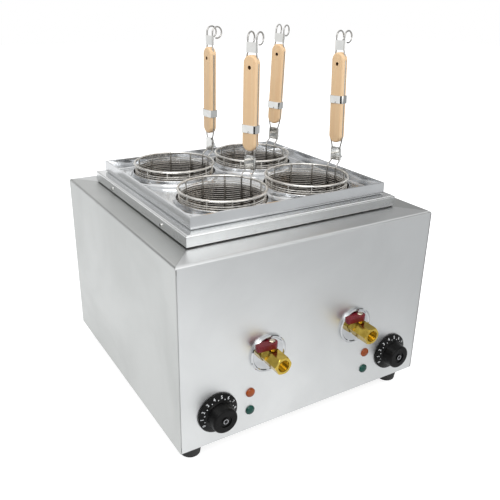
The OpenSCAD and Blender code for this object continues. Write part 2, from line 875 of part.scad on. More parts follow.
// The thermostat's case behind the panel, with its capillary tube and the bulb in the tank
module thermostat(s) {
  case_w = 40;
  case_d = 36;
  case_h = 34;
  collar_l = 6;
  collar_r = 7;
  shaft_depth = 14;
  tube_bend_r = 10;
  nut_l = 5;
  bulb_gap = 2;
  tube_y = panel_back_y + collar_l + case_d / 2;
  bulb_z = z_floor + bulb_rise;
  color("ivory")
    difference() {
      union() {
        translate([s * knob_x - case_w / 2, panel_back_y + collar_l, z_knob - case_h / 2])
          cube([case_w, case_d, case_h]);
        turn_front(s * knob_x, z_knob)
          translate([0, -sheet_t - collar_l - over]) square([collar_r, collar_l + over]);
        bent_wire(
          [
            [s * knob_x, tube_y, z_knob], [s * knob_x, tube_y, bulb_z],
            [s * tank_x, tube_y, bulb_z], [s * tank_x, tank_front + 2 * bulb_gap, bulb_z]
          ],
          tube_bend_r, capillary_r
        );
        translate([s * tank_x, tank_front + bulb_gap, bulb_z])
          rotate([-90, 0, 0]) cylinder(r = bulb_r, h = bulb_l, $fn = 32);
        translate([s * tank_x, tank_front - tank_t, bulb_z])
          rotate([90, 0, 0]) cylinder(r = 2 * bulb_r, h = nut_l, $fn = 6);
      }
      turn_front(s * knob_x, z_knob)
        translate([0, -sheet_t - collar_l - shaft_depth])
          square([shaft_d / 2 + fit_gap, collar_l + shaft_depth + over]);
    }
}

// The shaft that turns with the knob, with the bright cap in the knob's face
module thermostat_shaft(s) {
  tail = 18;
  cap_r = 5.4;
  cap_t = 1.3;
  cap_drop = 0.2;
  color("silver")
    turn_front(s * knob_x, z_knob)
      union() {
        translate([0, -tail]) square([shaft_d / 2, tail + knob_reach - cap_drop - cap_t]);
        translate([0, knob_reach - cap_drop - cap_t]) square([cap_r, cap_t]);
      }
}

module knob(s) {
  r = dial_d / 2;
  edge = 0.8;
  g = grip_d / 2;
  face_r = g - edge;
  round_r = 3;
  skirt_t = 2;
  skirt_top = 5.5;
  neck = 1.5;
  recess_r = 9.5;
  recess_d = 1.6;
  bore_r = shaft_d / 2 + touch_gap;
  shoulder_z = knob_reach - round_r;
  color("black")
    turn_front(s * knob_x, z_knob)
      difference() {
        union() {
          polygon([
            [bore_r, dial_gap], [r - edge, dial_gap], [r, dial_gap + edge], [r, dial_gap + skirt_t],
            [g + neck, dial_gap + skirt_top], [g, dial_gap + skirt_top + neck], [face_r, shoulder_z],
            [bore_r, shoulder_z]
          ]);
          translate([bore_r, shoulder_z - touch_gap])
            square([face_r - round_r - bore_r, round_r + touch_gap]);
          intersection() {
            translate([face_r - round_r, shoulder_z]) circle(r = round_r, $fn = 48);
            translate([face_r - round_r - touch_gap, shoulder_z - touch_gap]) square(round_r + over);
          }
        }
        translate([0, knob_reach - recess_d]) square([recess_r, recess_d + over]);
      }
}

// A lens in front of the panel, its barrel through it and its nut behind
module lamps(rise) {
  r = lamp_d / 2;
  lip_h = 1.2;
  lens_h = 4.2;
  crown_w = 3;
  barrel_l = 16;
  nut_l = 4;
  for (s = [-1, 1])
    turn_front(s * lamp_x, z_case + rise)
      union() {
        polygon([
          [0, 0], [r, 0], [r, lip_h], [r - crown_w / 3, (lip_h + lens_h) / 2],
          [r - crown_w, lens_h - crown_w / 8], [0, lens_h]
        ]);
        translate([0, -barrel_l]) square([lamp_barrel_r, barrel_l + lip_h]);
        translate([0, -sheet_t - nut_l]) square([r - fit_gap, nut_l]);
      }
}

module amber_lamps() {
  color("darkorange") lamps(amber_rise);
}

module green_lamps() {
  color("seagreen") lamps(green_rise);
}

// Rear and inside

module cable_gland() {
  r = gland_thread_r;
  hex_w = 3.5;
  hex_r = r + hex_w;
  hex_h = 6;
  nut_h = 5;
  thread_l = 11;
  collar_w = 1.6;
  collar_l = 9;
  cone_l = 4;
  edge = 0.5;
  taper = 1.8;
  sleeve_l = gland_reach - hex_h + over;
  color("black")
    translate([gland_x, body_d / 2, z_case + gland_rise])
      rotate([-90, 0, 0])
        difference() {
          union() {
            cylinder(r = hex_r, h = hex_h, $fn = 6);
            translate([0, 0, hex_h - over])
              rotate_extrude($fn = 48)
                polygon([
                  [0, 0], [r + collar_w, 0], [r + collar_w, collar_l], [r, collar_l + cone_l],
                  [r - edge, collar_l + cone_l], [r - taper, sleeve_l - 2 * edge],
                  [r - taper - edge, sleeve_l], [0, sleeve_l]
                ]);
            translate([0, 0, -thread_l]) cylinder(r = r, h = thread_l + over, $fn = 48);
            translate([0, 0, -sheet_t - nut_h]) cylinder(r = hex_r, h = nut_h, $fn = 6);
          }
          translate([0, 0, -thread_l - over])
            cylinder(d = gland_bore, h = thread_l + gland_reach + 2 * over, $fn = 48);
        }
}

module terminal_block() {
  from_gland = 60;
  from_rear = 70;
  w = 60;
  d = 24;
  h = 26;
  ways = 3;
  pitch = 17;
  screw_r = 3.6;
  screw_depth = 12;
  wire_way_r = 2.6;
  color("ivory")
    translate([gland_x - from_gland, body_d / 2 - from_rear, z_case + base_t])
      difference() {
        translate([-w / 2, -d / 2, 0]) cube([w, d, h]);
        for (i = [0 : ways - 1])
          translate([(i - (ways - 1) / 2) * pitch, 0, 0]) {
            translate([0, 0, h - screw_depth]) cylinder(r = screw_r, h = screw_depth + over, $fn = 32);
            translate([0, -d, h / 3]) rotate([-90, 0, 0]) cylinder(r = wire_way_r, h = 2 * d, $fn = 32);
          }
      }
}

// Baskets

// Sets a basket's own frame: rim wire's middle at the origin, handle towards +X
module at_basket(b) {
  translate([b[0] * basket_dx, top_shift + b[1] * basket_dy, z_rim]) rotate([0, 0, b[2]]) children();
}

// Leans the handle sideways about the rim
module at_handle(b) {
  at_basket(b) rotate([b[3], 0, 0]) translate([handle_x, 0, 0]) children();
}

function leaned(p, a) = [p.x, p.y * cos(a) - p.z * sin(a), p.y * sin(a) + p.z * cos(a)];

// The rim wire, the ribs welded inside it that turn in under the basket, and the ring where they meet
module basket_frame(b) {
  rib_top = rim_r * 0.6;
  color("lightgray")
    at_basket(b) {
      rotate_extrude($fn = 96) translate([basket_r, 0]) circle(r = rim_r, $fn = 24);
      for (i = [1 : rib_places - 1])
        rotate([0, 0, i * 360 / rib_places])
          bent_wire(
            [
              [rib_path_r, 0, rib_top], [rib_path_r, 0, spoke_z],
              [hub_ring_r + hub_wire_r + touch_gap, 0, spoke_z]
            ],
            rib_bend_r, rib_r
          );
      translate([0, 0, spoke_z])
        rotate_extrude($fn = 64) translate([hub_ring_r, 0]) circle(r = hub_wire_r, $fn = 24);
    }
}

// Where the rings lie: down the wall, round the bend and across the bottom, each a radius and a height
function ring_places() =
  let (
    wall_end = spoke_z + rib_bend_r,
    bend_in = rib_bend_r + ring_off,
    bend_steps = ceil(bend_in * PI / 2 / ring_pitch),
    flat_end = rib_path_r - rib_bend_r
  ) [
    for (z = [-first_ring : -ring_pitch : wall_end]) [rib_path_r + ring_off, z],
    for (i = [1 : bend_steps])
      [flat_end + bend_in * cos(90 * i / bend_steps), wall_end - bend_in * sin(90 * i / bend_steps)],
    for (r = [flat_end - ring_pitch : -ring_pitch : hub_ring_r + ring_off]) [r, spoke_z - ring_off]
  ];

module basket_rings(b) {
  color("silver")
    at_basket(b)
      rotate_extrude($fn = 96)
        for (p = ring_places()) translate(p) rotate(22.5) circle(r = ring_r, $fn = 8);
}

// Corners of one handle wire, from inside the basket up to the hook
function handle_path(side, a) =
  let (
    inside_x = sqrt(pow(wire_path_r, 2) - pow(wire_side, 2)),
    outstep = 2,
    entry = 4
  ) concat(
    [
      [inside_x, side * wire_side, spoke_z + wire_foot],
      [inside_x, side * wire_side, wire_over / 2],
      [inside_x + outstep, side * wire_side, wire_over * 1.6]
    ],
    [
      for (p = [
        [tab_half, tab_low], [tab_half, tab_low + tab_h + over], [wood_half, wood_low + entry],
        [wood_half, wood_top - wood_w / 2], [plate_half, plate_low], [plate_half, hook_z]
      ]) leaned([handle_x, side * p[0], p[1]], a)
    ]
  );

module handle_wire(side, a, r) {
  path = handle_path(side, a);
  end = path[len(path) - 1];
  up = leaned([0, 0, 1], a);
  union() {
    kinked_wire(path, r, knuckle_gap);
    knuckle(end, r, knuckle_gap);
    elbow(end + up * knuckle_gap, up, [1, 0, 0], hook_turn, hook_r, r);
  }
}

module basket_handle_wires(b) {
  color("silver")
    at_basket(b)
      for (side = [-1, 1]) handle_wire(side, b[3], wire_r);
}

// A sheet that joins the two wires and curls round each of them
module wire_plate(half, h) {
  difference() {
    union() {
      translate([-wire_r - touch_gap - curl_t, -half, 0]) cube([curl_t, 2 * half, h]);
      for (side = [-1, 1]) translate([0, side * half, 0]) cylinder(r = groove_r + curl_t, h = h, $fn = 32);
    }
    for (side = [-1, 1])
      translate([0, side * half, -over]) cylinder(r = groove_r, h = h + 2 * over, $fn = 32);
  }
}

// The hook tab, whose flap hangs over a pot's edge, and the plate under the hooks
module basket_clips(b) {
  fold_h = 4;
  fold_x = 1;
  flap_lean = atan(flap_out / tab_h);
  flap_half = tab_half - groove_r - curl_t - slide_gap;
  back_x = -wire_r - touch_gap - curl_t;
  color("gainsboro")
    at_handle(b) {
      union() {
        translate([0, 0, tab_low + over]) wire_plate(tab_half, tab_h - fold_h);
        translate([back_x, -flap_half, tab_low + tab_h - fold_h]) cube([curl_t, 2 * flap_half, fold_h]);
        translate([back_x, -flap_half, tab_low + tab_h - curl_t])
          cube([fold_x - back_x, 2 * flap_half, curl_t]);
        translate([fold_x, 0, tab_low + tab_h])
          rotate([0, 180 - flap_lean, 0])
            translate([0, -flap_half, 0]) cube([curl_t, 2 * flap_half, tab_h - fold_h / 2]);
      }
      translate([0, 0, plate_low + over]) wire_plate(plate_half, plate_h);
    }
}

// A wooden grip with round ends, a wire let into a slot along each side, and a hole near the top
module basket_grip(b) {
  middle = wood_low + wood_l / 2;
  slot_low = wood_low - over;
  slot_high = wood_top - wood_w / 2;
  slot_half = wire_r + touch_gap / 2;
  color("burlywood")
    difference() {
      at_handle(b)
        difference() {
          intersection() {
            translate([-wood_t, 0, middle])
              rotate([90, 0, 90]) linear_extrude(2 * wood_t) rotate(90) slot(wood_l, wood_w);
            translate([0, 0, wood_low - over])
              linear_extrude(wood_l + 2 * over) rounded_rect(wood_t, wood_w - touch_gap, wood_edge_r);
            translate([0, wood_w, middle])
              rotate([90, 0, 0]) linear_extrude(2 * wood_w) rounded_rect(wood_t, wood_l, wood_end_r);
          }
          translate([-wood_t, 0, wood_top - wood_hole_drop])
            rotate([0, 90, 0]) cylinder(d = wood_hole_d, h = 2 * wood_t, $fn = 32);
          for (side = [-1, 1])
            translate([-slot_half, side * (wood_half + wood_w / 2) - wood_w / 2, slot_low])
              cube([2 * slot_half, wood_w, slot_high - slot_low]);
        }
      at_basket(b)
        for (side = [-1, 1])
          kinked_wire([for (i = [4 : 7]) handle_path(side, b[3])[i]], groove_r, 0);
    }
}

// A spring strap that slides along the grip and its two wires
module basket_band(b) {
  in_x = wood_t + 2 * slide_gap;
  in_y = 2 * (max(wood_w / 2, wood_half + wire_r) + slide_gap);
  corner_r = 2;
  color("silver")
    at_handle(b)
      translate([0, 0, wood_low + b[4] - band_h / 2])
        linear_extrude(band_h)
          difference() {
            rounded_rect(in_x + 2 * band_t, in_y + 2 * band_t, corner_r);
            rounded_rect(in_x, in_y, corner_r - band_t);
          }
}

front_panel();
left_panel();
right_panel();
rear_panel();
base_plate();
feet();
foot_screws();
tank_gasket();
tank(-1);  // tank_left
tank(1);  // tank_right
surround();
surround_screws();
deck_tray();
heater(-1);  // heater_left
heater(1);  // heater_right
guard(-1);  // guard_left
guard(1);  // guard_right
escutcheon(-1);  // escutcheon_left
escutcheon(1);  // escutcheon_right
valve_body(-1);  // valve_body_left
valve_body(1);  // valve_body_right
valve_stem(-1);  // valve_stem_left
valve_stem(1);  // valve_stem_right
valve_lever(-1);  // valve_lever_left
valve_lever(1);  // valve_lever_right
thermostat(-1);  // thermostat_left
thermostat(1);  // thermostat_right
thermostat_shaft(-1);  // thermostat_shaft_left
thermostat_shaft(1);  // thermostat_shaft_right
knob(-1);  // knob_left
knob(1);  // knob_right
amber_lamps();
green_lamps();
cable_gland();
terminal_block();
basket_frame(BACK_LEFT);  // basket_back_left_frame
basket_rings(BACK_LEFT);  // basket_back_left_rings
basket_handle_wires(BACK_LEFT);  // basket_back_left_handle_wires
basket_clips(BACK_LEFT);  // basket_back_left_clips
basket_grip(BACK_LEFT);  // basket_back_left_grip
basket_band(BACK_LEFT);  // basket_back_left_band
basket_frame(BACK_RIGHT);  // basket_back_right_frame
basket_rings(BACK_RIGHT);  // basket_back_right_rings
basket_handle_wires(BACK_RIGHT);  // basket_back_right_handle_wires
basket_clips(BACK_RIGHT);  // basket_back_right_clips
basket_grip(BACK_RIGHT);  // basket_back_right_grip
basket_band(BACK_RIGHT);  // basket_back_right_band
basket_frame(FRONT_LEFT);  // basket_front_left_frame
basket_rings(FRONT_LEFT);  // basket_front_left_rings
basket_handle_wires(FRONT_LEFT);  // basket_front_left_handle_wires
basket_clips(FRONT_LEFT);  // basket_front_left_clips
basket_grip(FRONT_LEFT);  // basket_front_left_grip
basket_band(FRONT_LEFT);  // basket_front_left_band
basket_frame(FRONT_RIGHT);  // basket_front_right_frame
basket_rings(FRONT_RIGHT);  // basket_front_right_rings
basket_handle_wires(FRONT_RIGHT);  // basket_front_right_handle_wires
basket_clips(FRONT_RIGHT);  // basket_front_right_clips
basket_grip(FRONT_RIGHT);  // basket_front_right_grip
basket_band(FRONT_RIGHT);  // basket_front_right_band
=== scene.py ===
# %% [markdown]
# # Dressing a countertop pasta cooker
# The cooker is a folded stainless box with two water tanks, four wire baskets on upright wooden
# handles, two drain valves, two dials and four pilot lamps. The solids arrive as a fixed frame, in
# metres, with the front towards -Y. This file gives them light, a camera and finishes, and models
# the pieces whose look depends on soft curves.

# %% Load the fixed frame
import json
import math

import bmesh
import bpy
from mathutils import Matrix, Vector


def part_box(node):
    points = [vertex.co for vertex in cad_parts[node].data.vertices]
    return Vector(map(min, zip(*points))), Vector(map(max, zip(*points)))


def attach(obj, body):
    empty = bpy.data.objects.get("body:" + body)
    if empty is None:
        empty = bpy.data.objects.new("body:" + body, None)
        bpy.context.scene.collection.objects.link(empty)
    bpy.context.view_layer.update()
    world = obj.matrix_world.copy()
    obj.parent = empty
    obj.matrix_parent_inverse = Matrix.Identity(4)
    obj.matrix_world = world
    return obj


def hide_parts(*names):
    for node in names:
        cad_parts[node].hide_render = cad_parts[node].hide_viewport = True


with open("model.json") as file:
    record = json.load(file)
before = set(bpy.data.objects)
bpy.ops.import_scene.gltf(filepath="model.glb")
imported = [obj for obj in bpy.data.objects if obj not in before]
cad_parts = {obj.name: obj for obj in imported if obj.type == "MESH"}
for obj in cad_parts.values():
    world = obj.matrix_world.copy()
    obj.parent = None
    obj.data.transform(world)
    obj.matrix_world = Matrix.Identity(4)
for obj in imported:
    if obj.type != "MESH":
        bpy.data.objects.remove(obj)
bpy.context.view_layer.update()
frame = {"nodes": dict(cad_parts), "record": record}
nodes = frame["nodes"]
mm = 0.001

# %% [markdown]
# ## Camera
# The photograph looks down on the front left corner from a little over a metre away. The angles
# below were found by lining up the casing's edges, so the camera can be written as a place and three
# turns. Building the matrix from its axes avoids guessing the order in which Blender turns an object.

# %% Camera
CAMERA_PLACE = Vector((-0.5144, -0.8625, 0.638))
YAW, PITCH, ROLL = (math.radians(a) for a in (31.94, 22.76, -1.16))
LENS, SENSOR = 44.4, 36.0

forward = Vector((math.sin(YAW) * math.cos(PITCH), math.cos(YAW) * math.cos(PITCH), -math.sin(PITCH)))
right = Vector((math.cos(YAW), -math.sin(YAW), 0))
down = forward.cross(right)
level_right = math.cos(ROLL) * right + math.sin(ROLL) * down
level_down = math.cos(ROLL) * down - math.sin(ROLL) * right
bpy.ops.object.camera_add()
camera = bpy.context.object
camera.data.lens, camera.data.sensor_width = LENS, SENSOR
turn = Matrix((level_right, -level_down, -forward)).transposed().to_4x4()
camera.matrix_world = Matrix.Translation(CAMERA_PLACE) @ turn
bpy.context.scene.camera = camera
bpy.context.scene.view_settings.view_transform = "Standard"
print("camera", [round(c, 3) for c in camera.location])

# %% [markdown]
# ## Studio
# A product photograph on white is a pale table under large soft lamps. The background could be made
# white by more light, but that would burn out the steel. Here the world and the floor show themselves
# as white to the camera and to mirror-like rays, while the light that falls on the cooker stays at a
# plain level.

# %% Node helpers
def add(tree, kind, sockets=None, **settings):
    """Adds a node, sets its options by name and its input sockets from a dictionary."""
    made = tree.nodes.new(kind)
    for name, value in settings.items():
        setattr(made, name, value)
    for name, value in (sockets or {}).items():
        made.inputs[name].default_value = value
    return made


def ray_kinds(tree):
    """Two factors: 1 for rays from the camera, and 1 for rays that a mirror or a lens sends on."""
    path = add(tree, "ShaderNodeLightPath")
    either = add(tree, "ShaderNodeMath", operation="MAXIMUM")
    tree.links.new(path.outputs["Is Glossy Ray"], either.inputs[0])
    tree.links.new(path.outputs["Is Transmission Ray"], either.inputs[1])
    return path.outputs["Is Camera Ray"], either.outputs[0]


def math_node(tree, operation, first, second):
    """A Math node; each input is a socket or a plain number."""
    made = add(tree, "ShaderNodeMath", operation=operation)
    for socket, source in zip(made.inputs, (first, second)):
        if isinstance(source, (int, float)):
            socket.default_value = source
        else:
            tree.links.new(source, socket)
    return made.outputs[0]


def ramp(tree, source, span, values):
    """Maps a span of a value smoothly to two other values."""
    made = add(
        tree, "ShaderNodeMapRange",
        {"From Min": span[0], "From Max": span[1], "To Min": values[0], "To Max": values[1]},
        interpolation_type="SMOOTHSTEP",
    )
    tree.links.new(source, made.inputs["Value"])
    return made.outputs[0]


# %% World
AMBIENT = (0.62, 0.64, 0.66, 1)
world = bpy.data.worlds.new("studio_room")
world.use_nodes = True
bpy.context.scene.world = world
room = world.node_tree
room.nodes.clear()
ambient = add(room, "ShaderNodeBackground", {"Color": AMBIENT, "Strength": 1.0})
white = add(room, "ShaderNodeBackground", {"Color": (1, 1, 1, 1), "Strength": 1.0})
room_mix = add(room, "ShaderNodeMixShader")
room_out = add(room, "ShaderNodeOutputWorld")
from_camera, from_mirror = ray_kinds(room)
room.links.new(math_node(room, "MAXIMUM", from_camera, from_mirror), room_mix.inputs[0])
room.links.new(ambient.outputs[0], room_mix.inputs[1])
room.links.new(white.outputs[0], room_mix.inputs[2])
room.links.new(room_mix.outputs[0], room_out.inputs["Surface"])
print("world:", world.name)

# %% [markdown]
# ### Table
# The floor adds its own glow to a matt colour, so it is white and still takes a shadow. In mirrors it
# dims towards the right, away from the lamps, which lets the front panel darken that way.

# %% Floor
FLOOR_SIZE = 14.0
FLOOR_MATT = (0.50, 0.50, 0.50, 1)
GLOW_SEEN, SEEN_SPAN = (0.78, 1.0), (0.4, 1.3)
GLOW_MIRRORED, MIRRORED_SPAN = (0.62, 0.05), (-0.02, 0.80)
TABLE_DIMS_TOWARDS = (0.85, -0.53, 0)

bpy.ops.object.select_all(action="DESELECT")
bpy.ops.mesh.primitive_plane_add(size=FLOOR_SIZE)
floor = bpy.context.object
floor.name = "floor"
paper = bpy.data.materials.new("white_paper")
paper.use_nodes = True
sheet = paper.node_tree
sheet.nodes.clear()
matt = add(sheet, "ShaderNodeBsdfDiffuse", {"Color": FLOOR_MATT})
glow = add(sheet, "ShaderNodeEmission", {"Color": (1, 1, 1, 1)})
both = add(sheet, "ShaderNodeAddShader")
sheet_out = add(sheet, "ShaderNodeOutputMaterial")
on_floor = add(sheet, "ShaderNodeTexCoord").outputs["Object"]
away = add(sheet, "ShaderNodeVectorMath", operation="LENGTH")
along = add(sheet, "ShaderNodeVectorMath", {1: TABLE_DIMS_TOWARDS}, operation="DOT_PRODUCT")
sheet.links.new(on_floor, away.inputs[0])
sheet.links.new(on_floor, along.inputs[0])
from_camera, from_mirror = ray_kinds(sheet)
seen = math_node(sheet, "MULTIPLY", from_camera, ramp(sheet, away.outputs["Value"], SEEN_SPAN, GLOW_SEEN))
table = ramp(sheet, along.outputs["Value"], MIRRORED_SPAN, GLOW_MIRRORED)
mirrored = math_node(sheet, "MULTIPLY", from_mirror, table)
sheet.links.new(math_node(sheet, "ADD", seen, mirrored), glow.inputs["Strength"])
sheet.links.new(matt.outputs[0], both.inputs[0])
sheet.links.new(glow.outputs[0], both.inputs[1])
sheet.links.new(both.outputs[0], sheet_out.inputs["Surface"])
floor.data.materials.append(paper)
print("floor", FLOOR_SIZE, "m wide")

# %% [markdown]
# ### Cards
# Steel that mirrors nothing but white looks like paper, so a photographer stands cards round it. Grey
# ones behind give the deck and the flanges their tone, a bright one in front lights the steps, a dull
# one beside it lets them darken to the right, and a black one at the left draws the stripe on the
# bands. They are seen only by mirror-like rays, so they neither light the cooker nor shade it.

# %% Cards
AIM = Vector((0, 0, 0.25))
# Each card: its middle, its width and height, its tone.
CARDS = {
    "back_card": ((0.61, 2.11, 1.15), (1.8, 2.6), 0.86),
    "far_right_card": ((1.80, 1.26, 1.15), (1.4, 2.6), 0.38),
    "left_card": ((-0.71, 2.19, 1.25), (1.15, 1.6), 0.62),
    "far_left_card": ((-1.76, 1.32, 1.35), (1.6, 1.5), 0.12),
    "front_card": ((0.42, -1.85, 0.90), (1.2, 1.3), 1.60),
    "right_card": ((1.50, -1.10, 1.10), (1.6, 1.0), 0.20),
    "black_card": ((-1.40, -0.85, 0.26), (0.85, 0.90), 0.02),
}
for name, (place, (wide, tall), tone) in CARDS.items():
    bpy.ops.object.select_all(action="DESELECT")
    bpy.ops.mesh.primitive_plane_add(size=1, location=place)
    card = bpy.context.object
    card.name = name
    card.scale = (wide, tall, 1)
    card.rotation_euler = (AIM - Vector(place)).to_track_quat("Z", "Y").to_euler()
    card.visible_camera = card.visible_diffuse = card.visible_shadow = False
    board = bpy.data.materials.new(name)
    board.use_nodes = True
    board.node_tree.nodes.clear()
    face = add(board.node_tree, "ShaderNodeEmission", {"Color": (tone, tone, tone, 1), "Strength": 1.0})
    card_out = add(board.node_tree, "ShaderNodeOutputMaterial")
    board.node_tree.links.new(face.outputs[0], card_out.inputs["Surface"])
    card.data.materials.append(board)
print("cards:", ", ".join(CARDS))

# %% [markdown]
# ### Lamps
# Three large soft lamps light the cooker from the front left, the front right and above. Only the
# first shows in mirrors, because the other two would burn out the flat steel that mirrors them.

# %% Lamps
# Each lamp: its place, its width and its watts.
LAMPS = {
    "key_softbox": ((-1.3, -1.5, 2.0), 1.6, 26),
    "fill_softbox": ((1.7, -1.2, 1.5), 1.8, 12),
    "top_softbox": ((0.1, 0.5, 2.4), 1.8, 16),
}
MIRRORED_LAMP = "key_softbox"
for name, (place, size, watts) in LAMPS.items():
    bpy.ops.object.light_add(type="AREA", location=place)
    lamp = bpy.context.object
    lamp.name = name
    lamp.data.energy, lamp.data.size = watts, size
    lamp.rotation_euler = (AIM - Vector(place)).to_track_quat("-Z", "Y").to_euler()
    lamp.visible_glossy = name == MIRRORED_LAMP
print("lamps:", ", ".join(LAMPS))

# %% [markdown]
# ## Shared surface effects
# Three effects turn up on many finishes, so each is a node group with its own inputs. Drawn grain is
# noise pulled long in one direction, as the sanding belt leaves it. Handling marks are large soft
# clouds, where hands and cloths have changed the gloss. Fine skin is the tiny unevenness of moulded
# or plated surfaces.

# %% Group builder
def surface_group(title, inputs, output):
    """A node group with a Vector input, named inputs and one value output."""
    group = bpy.data.node_groups.new(title, "ShaderNodeTree")
    group.interface.new_socket("Vector", in_out="INPUT", socket_type="NodeSocketVector")
    for name, (kind, value) in inputs.items():
        group.interface.new_socket(name, in_out="INPUT", socket_type=kind).default_value = value
    group.interface.new_socket(output, in_out="OUTPUT", socket_type="NodeSocketFloat")
    return group, group.nodes.new("NodeGroupInput"), group.nodes.new("NodeGroupOutput")


# %% Drawn grain
grain_group, entry, leave = surface_group(
    "drawn_grain", {"Stretch": ("NodeSocketVector", (1, 1, 1))}, "Grain"
)
pull = add(grain_group, "ShaderNodeVectorMath", operation="MULTIPLY")
lines = add(grain_group, "ShaderNodeTexNoise", {"Scale": 1.0, "Detail": 5.0, "Roughness": 0.62})
grain_group.links.new(entry.outputs["Vector"], pull.inputs[0])
grain_group.links.new(entry.outputs["Stretch"], pull.inputs[1])
grain_group.links.new(pull.outputs[0], lines.inputs["Vector"])
grain_group.links.new(lines.outputs["Fac"], leave.inputs["Grain"])
print("group:", grain_group.name)

# %% Handling marks
marks_group, entry, leave = surface_group(
    "handling_marks", {"Scale": ("NodeSocketFloat", 9.0)}, "Marks"
)
clouds = add(marks_group, "ShaderNodeTexNoise", {"Detail": 6.0, "Roughness": 0.55, "Distortion": 0.6})
spread = add(
    marks_group, "ShaderNodeMapRange",
    {"From Min": 0.32, "From Max": 0.70}, interpolation_type="SMOOTHSTEP",
)
marks_group.links.new(entry.outputs["Vector"], clouds.inputs["Vector"])
marks_group.links.new(entry.outputs["Scale"], clouds.inputs["Scale"])
marks_group.links.new(clouds.outputs["Fac"], spread.inputs["Value"])
marks_group.links.new(spread.outputs[0], leave.inputs["Marks"])
print("group:", marks_group.name)

# %% Fine skin
skin_group, entry, leave = surface_group(
    "fine_skin", {"Scale": ("NodeSocketFloat", 700.0)}, "Skin"
)
pores = add(skin_group, "ShaderNodeTexNoise", {"Detail": 3.0, "Roughness": 0.5})
skin_group.links.new(entry.outputs["Vector"], pores.inputs["Vector"])
skin_group.links.new(entry.outputs["Scale"], pores.inputs["Scale"])
skin_group.links.new(pores.outputs["Fac"], leave.inputs["Skin"])
print("group:", skin_group.name)

# %% [markdown]
# ## Finishes
# Every finish starts the same way: a Principled shader and the object's own coordinates, so a pattern
# stays on its piece when the piece moves. Small functions add what finishes share: a colour that
# drifts between two tones, a roughness that a pattern changes, and a bump.

# %% Finish helpers
finishes = {}


def new_finish(name, sockets):
    """A material with a Principled shader and the object's coordinates."""
    material = bpy.data.materials.new(name)
    material.use_nodes = True
    tree = material.node_tree
    tree.nodes.clear()
    shader = add(tree, "ShaderNodeBsdfPrincipled", sockets)
    out = add(tree, "ShaderNodeOutputMaterial")
    place = add(tree, "ShaderNodeTexCoord").outputs["Object"]
    tree.links.new(shader.outputs[0], out.inputs["Surface"])
    finishes[name] = material
    return tree, shader, place


def effect(tree, group, place, sockets):
    """Places a shared effect with its own values and returns its output."""
    made = add(tree, "ShaderNodeGroup", node_tree=group)
    for name, value in sockets.items():
        made.inputs[name].default_value = value
    tree.links.new(place, made.inputs["Vector"])
    return made.outputs[0]


def remap(tree, source, low, high):
    """Turns a 0 to 1 pattern into values from low to high."""
    made = add(tree, "ShaderNodeMapRange", {"To Min": low, "To Max": high})
    tree.links.new(source, made.inputs["Value"])
    return made.outputs[0]


def two_tones(tree, source, tone_a, tone_b):
    """A colour that follows a pattern from one tone to another."""
    made = add(tree, "ShaderNodeMix", data_type="RGBA")
    made.inputs[6].default_value = (*tone_a, 1)
    made.inputs[7].default_value = (*tone_b, 1)
    tree.links.new(source, made.inputs[0])
    return made.outputs[2]


def bump(tree, shader, height, strength, distance=0.2 * mm):
    made = add(tree, "ShaderNodeBump", {"Strength": strength, "Distance": distance})
    tree.links.new(height, made.inputs["Height"])
    tree.links.new(made.outputs[0], shader.inputs["Normal"])


# %% [markdown]
# ### Metals
# Stainless sheet, wire, chrome, brass and nickel differ in tone, gloss and the direction of their
# grain, and in little else. One function makes them all. Grain changes the gloss and raises tiny
# ridges, and handling marks shift the tone and the gloss over a hand's width. A panel's grain runs up
# its face and on over the bend, so it lies front to back on the front flange and sideways on the side
# flanges, and the mitre between them shows.

# %% Metals
GRAIN_GLOSS = 0.03


def metal(name, tone, worn_tone, gloss, marks_scale, stretch, ridge):
    """gloss is the roughness of clean and of handled metal; ridge is the bump's strength."""
    tree, shader, place = new_finish(name, {"Metallic": 1.0})
    grain = effect(tree, grain_group, place, {"Stretch": stretch})
    marks = effect(tree, marks_group, place, {"Scale": marks_scale})
    tree.links.new(two_tones(tree, marks, tone, worn_tone), shader.inputs["Base Color"])
    clean, handled = gloss
    worn = remap(tree, marks, clean, handled)
    rough = math_node(tree, "ADD", worn, remap(tree, grain, -GRAIN_GLOSS, GRAIN_GLOSS))
    tree.links.new(rough, shader.inputs["Roughness"])
    bump(tree, shader, grain, ridge)
    return tree, shader, place


ALONG_FRONT, ALONG_SIDE = (1500, 14, 14), (14, 1500, 14)
CROSSWISE = (14, 1200, 1600)
EVEN = (3200, 3200, 3200)
metal("casing_steel", (0.71, 0.72, 0.72), (0.65, 0.66, 0.66), (0.34, 0.41), 5, ALONG_FRONT, 0.07)
# Side panels: the casing's steel in a darker tone, which is painted shade, with their grain turned to the
# side.
metal("side_steel_painted_shade", (0.55, 0.56, 0.55), (0.50, 0.51, 0.50), (0.34, 0.41), 5, ALONG_SIDE, 0.07)
# Surround: the casing's steel in a paler tone, which is painted light on its steps, and glossier.
metal("step_steel_painted_light", (0.86, 0.87, 0.87), (0.78, 0.79, 0.79), (0.20, 0.28), 7, EVEN, 0.03)
metal("deck_steel", (0.76, 0.77, 0.78), (0.66, 0.67, 0.68), (0.13, 0.20), 9, CROSSWISE, 0.05)
metal("tank_steel", (0.40, 0.39, 0.38), (0.30, 0.29, 0.28), (0.32, 0.45), 12, EVEN, 0.08)
# Near-black steel for the tanks and guards: painted shade of the deep tanks, not the steel's own tone.
metal("tank_painted_shade", (0.040, 0.031, 0.026), (0.020, 0.016, 0.013), (0.34, 0.48), 14, EVEN, 0.08)
metal("handle_wire", (0.52, 0.51, 0.49), (0.40, 0.39, 0.37), (0.16, 0.26), 60, EVEN, 0.03)
metal("strap_steel", (0.78, 0.78, 0.76), (0.70, 0.70, 0.68), (0.06, 0.12), 60, EVEN, 0.01)
metal("screw_steel", (0.46, 0.46, 0.45), (0.36, 0.36, 0.35), (0.20, 0.30), 90, EVEN, 0.04)
metal("heater_steel", (0.20, 0.18, 0.16), (0.12, 0.10, 0.09), (0.40, 0.55), 30, EVEN, 0.10)
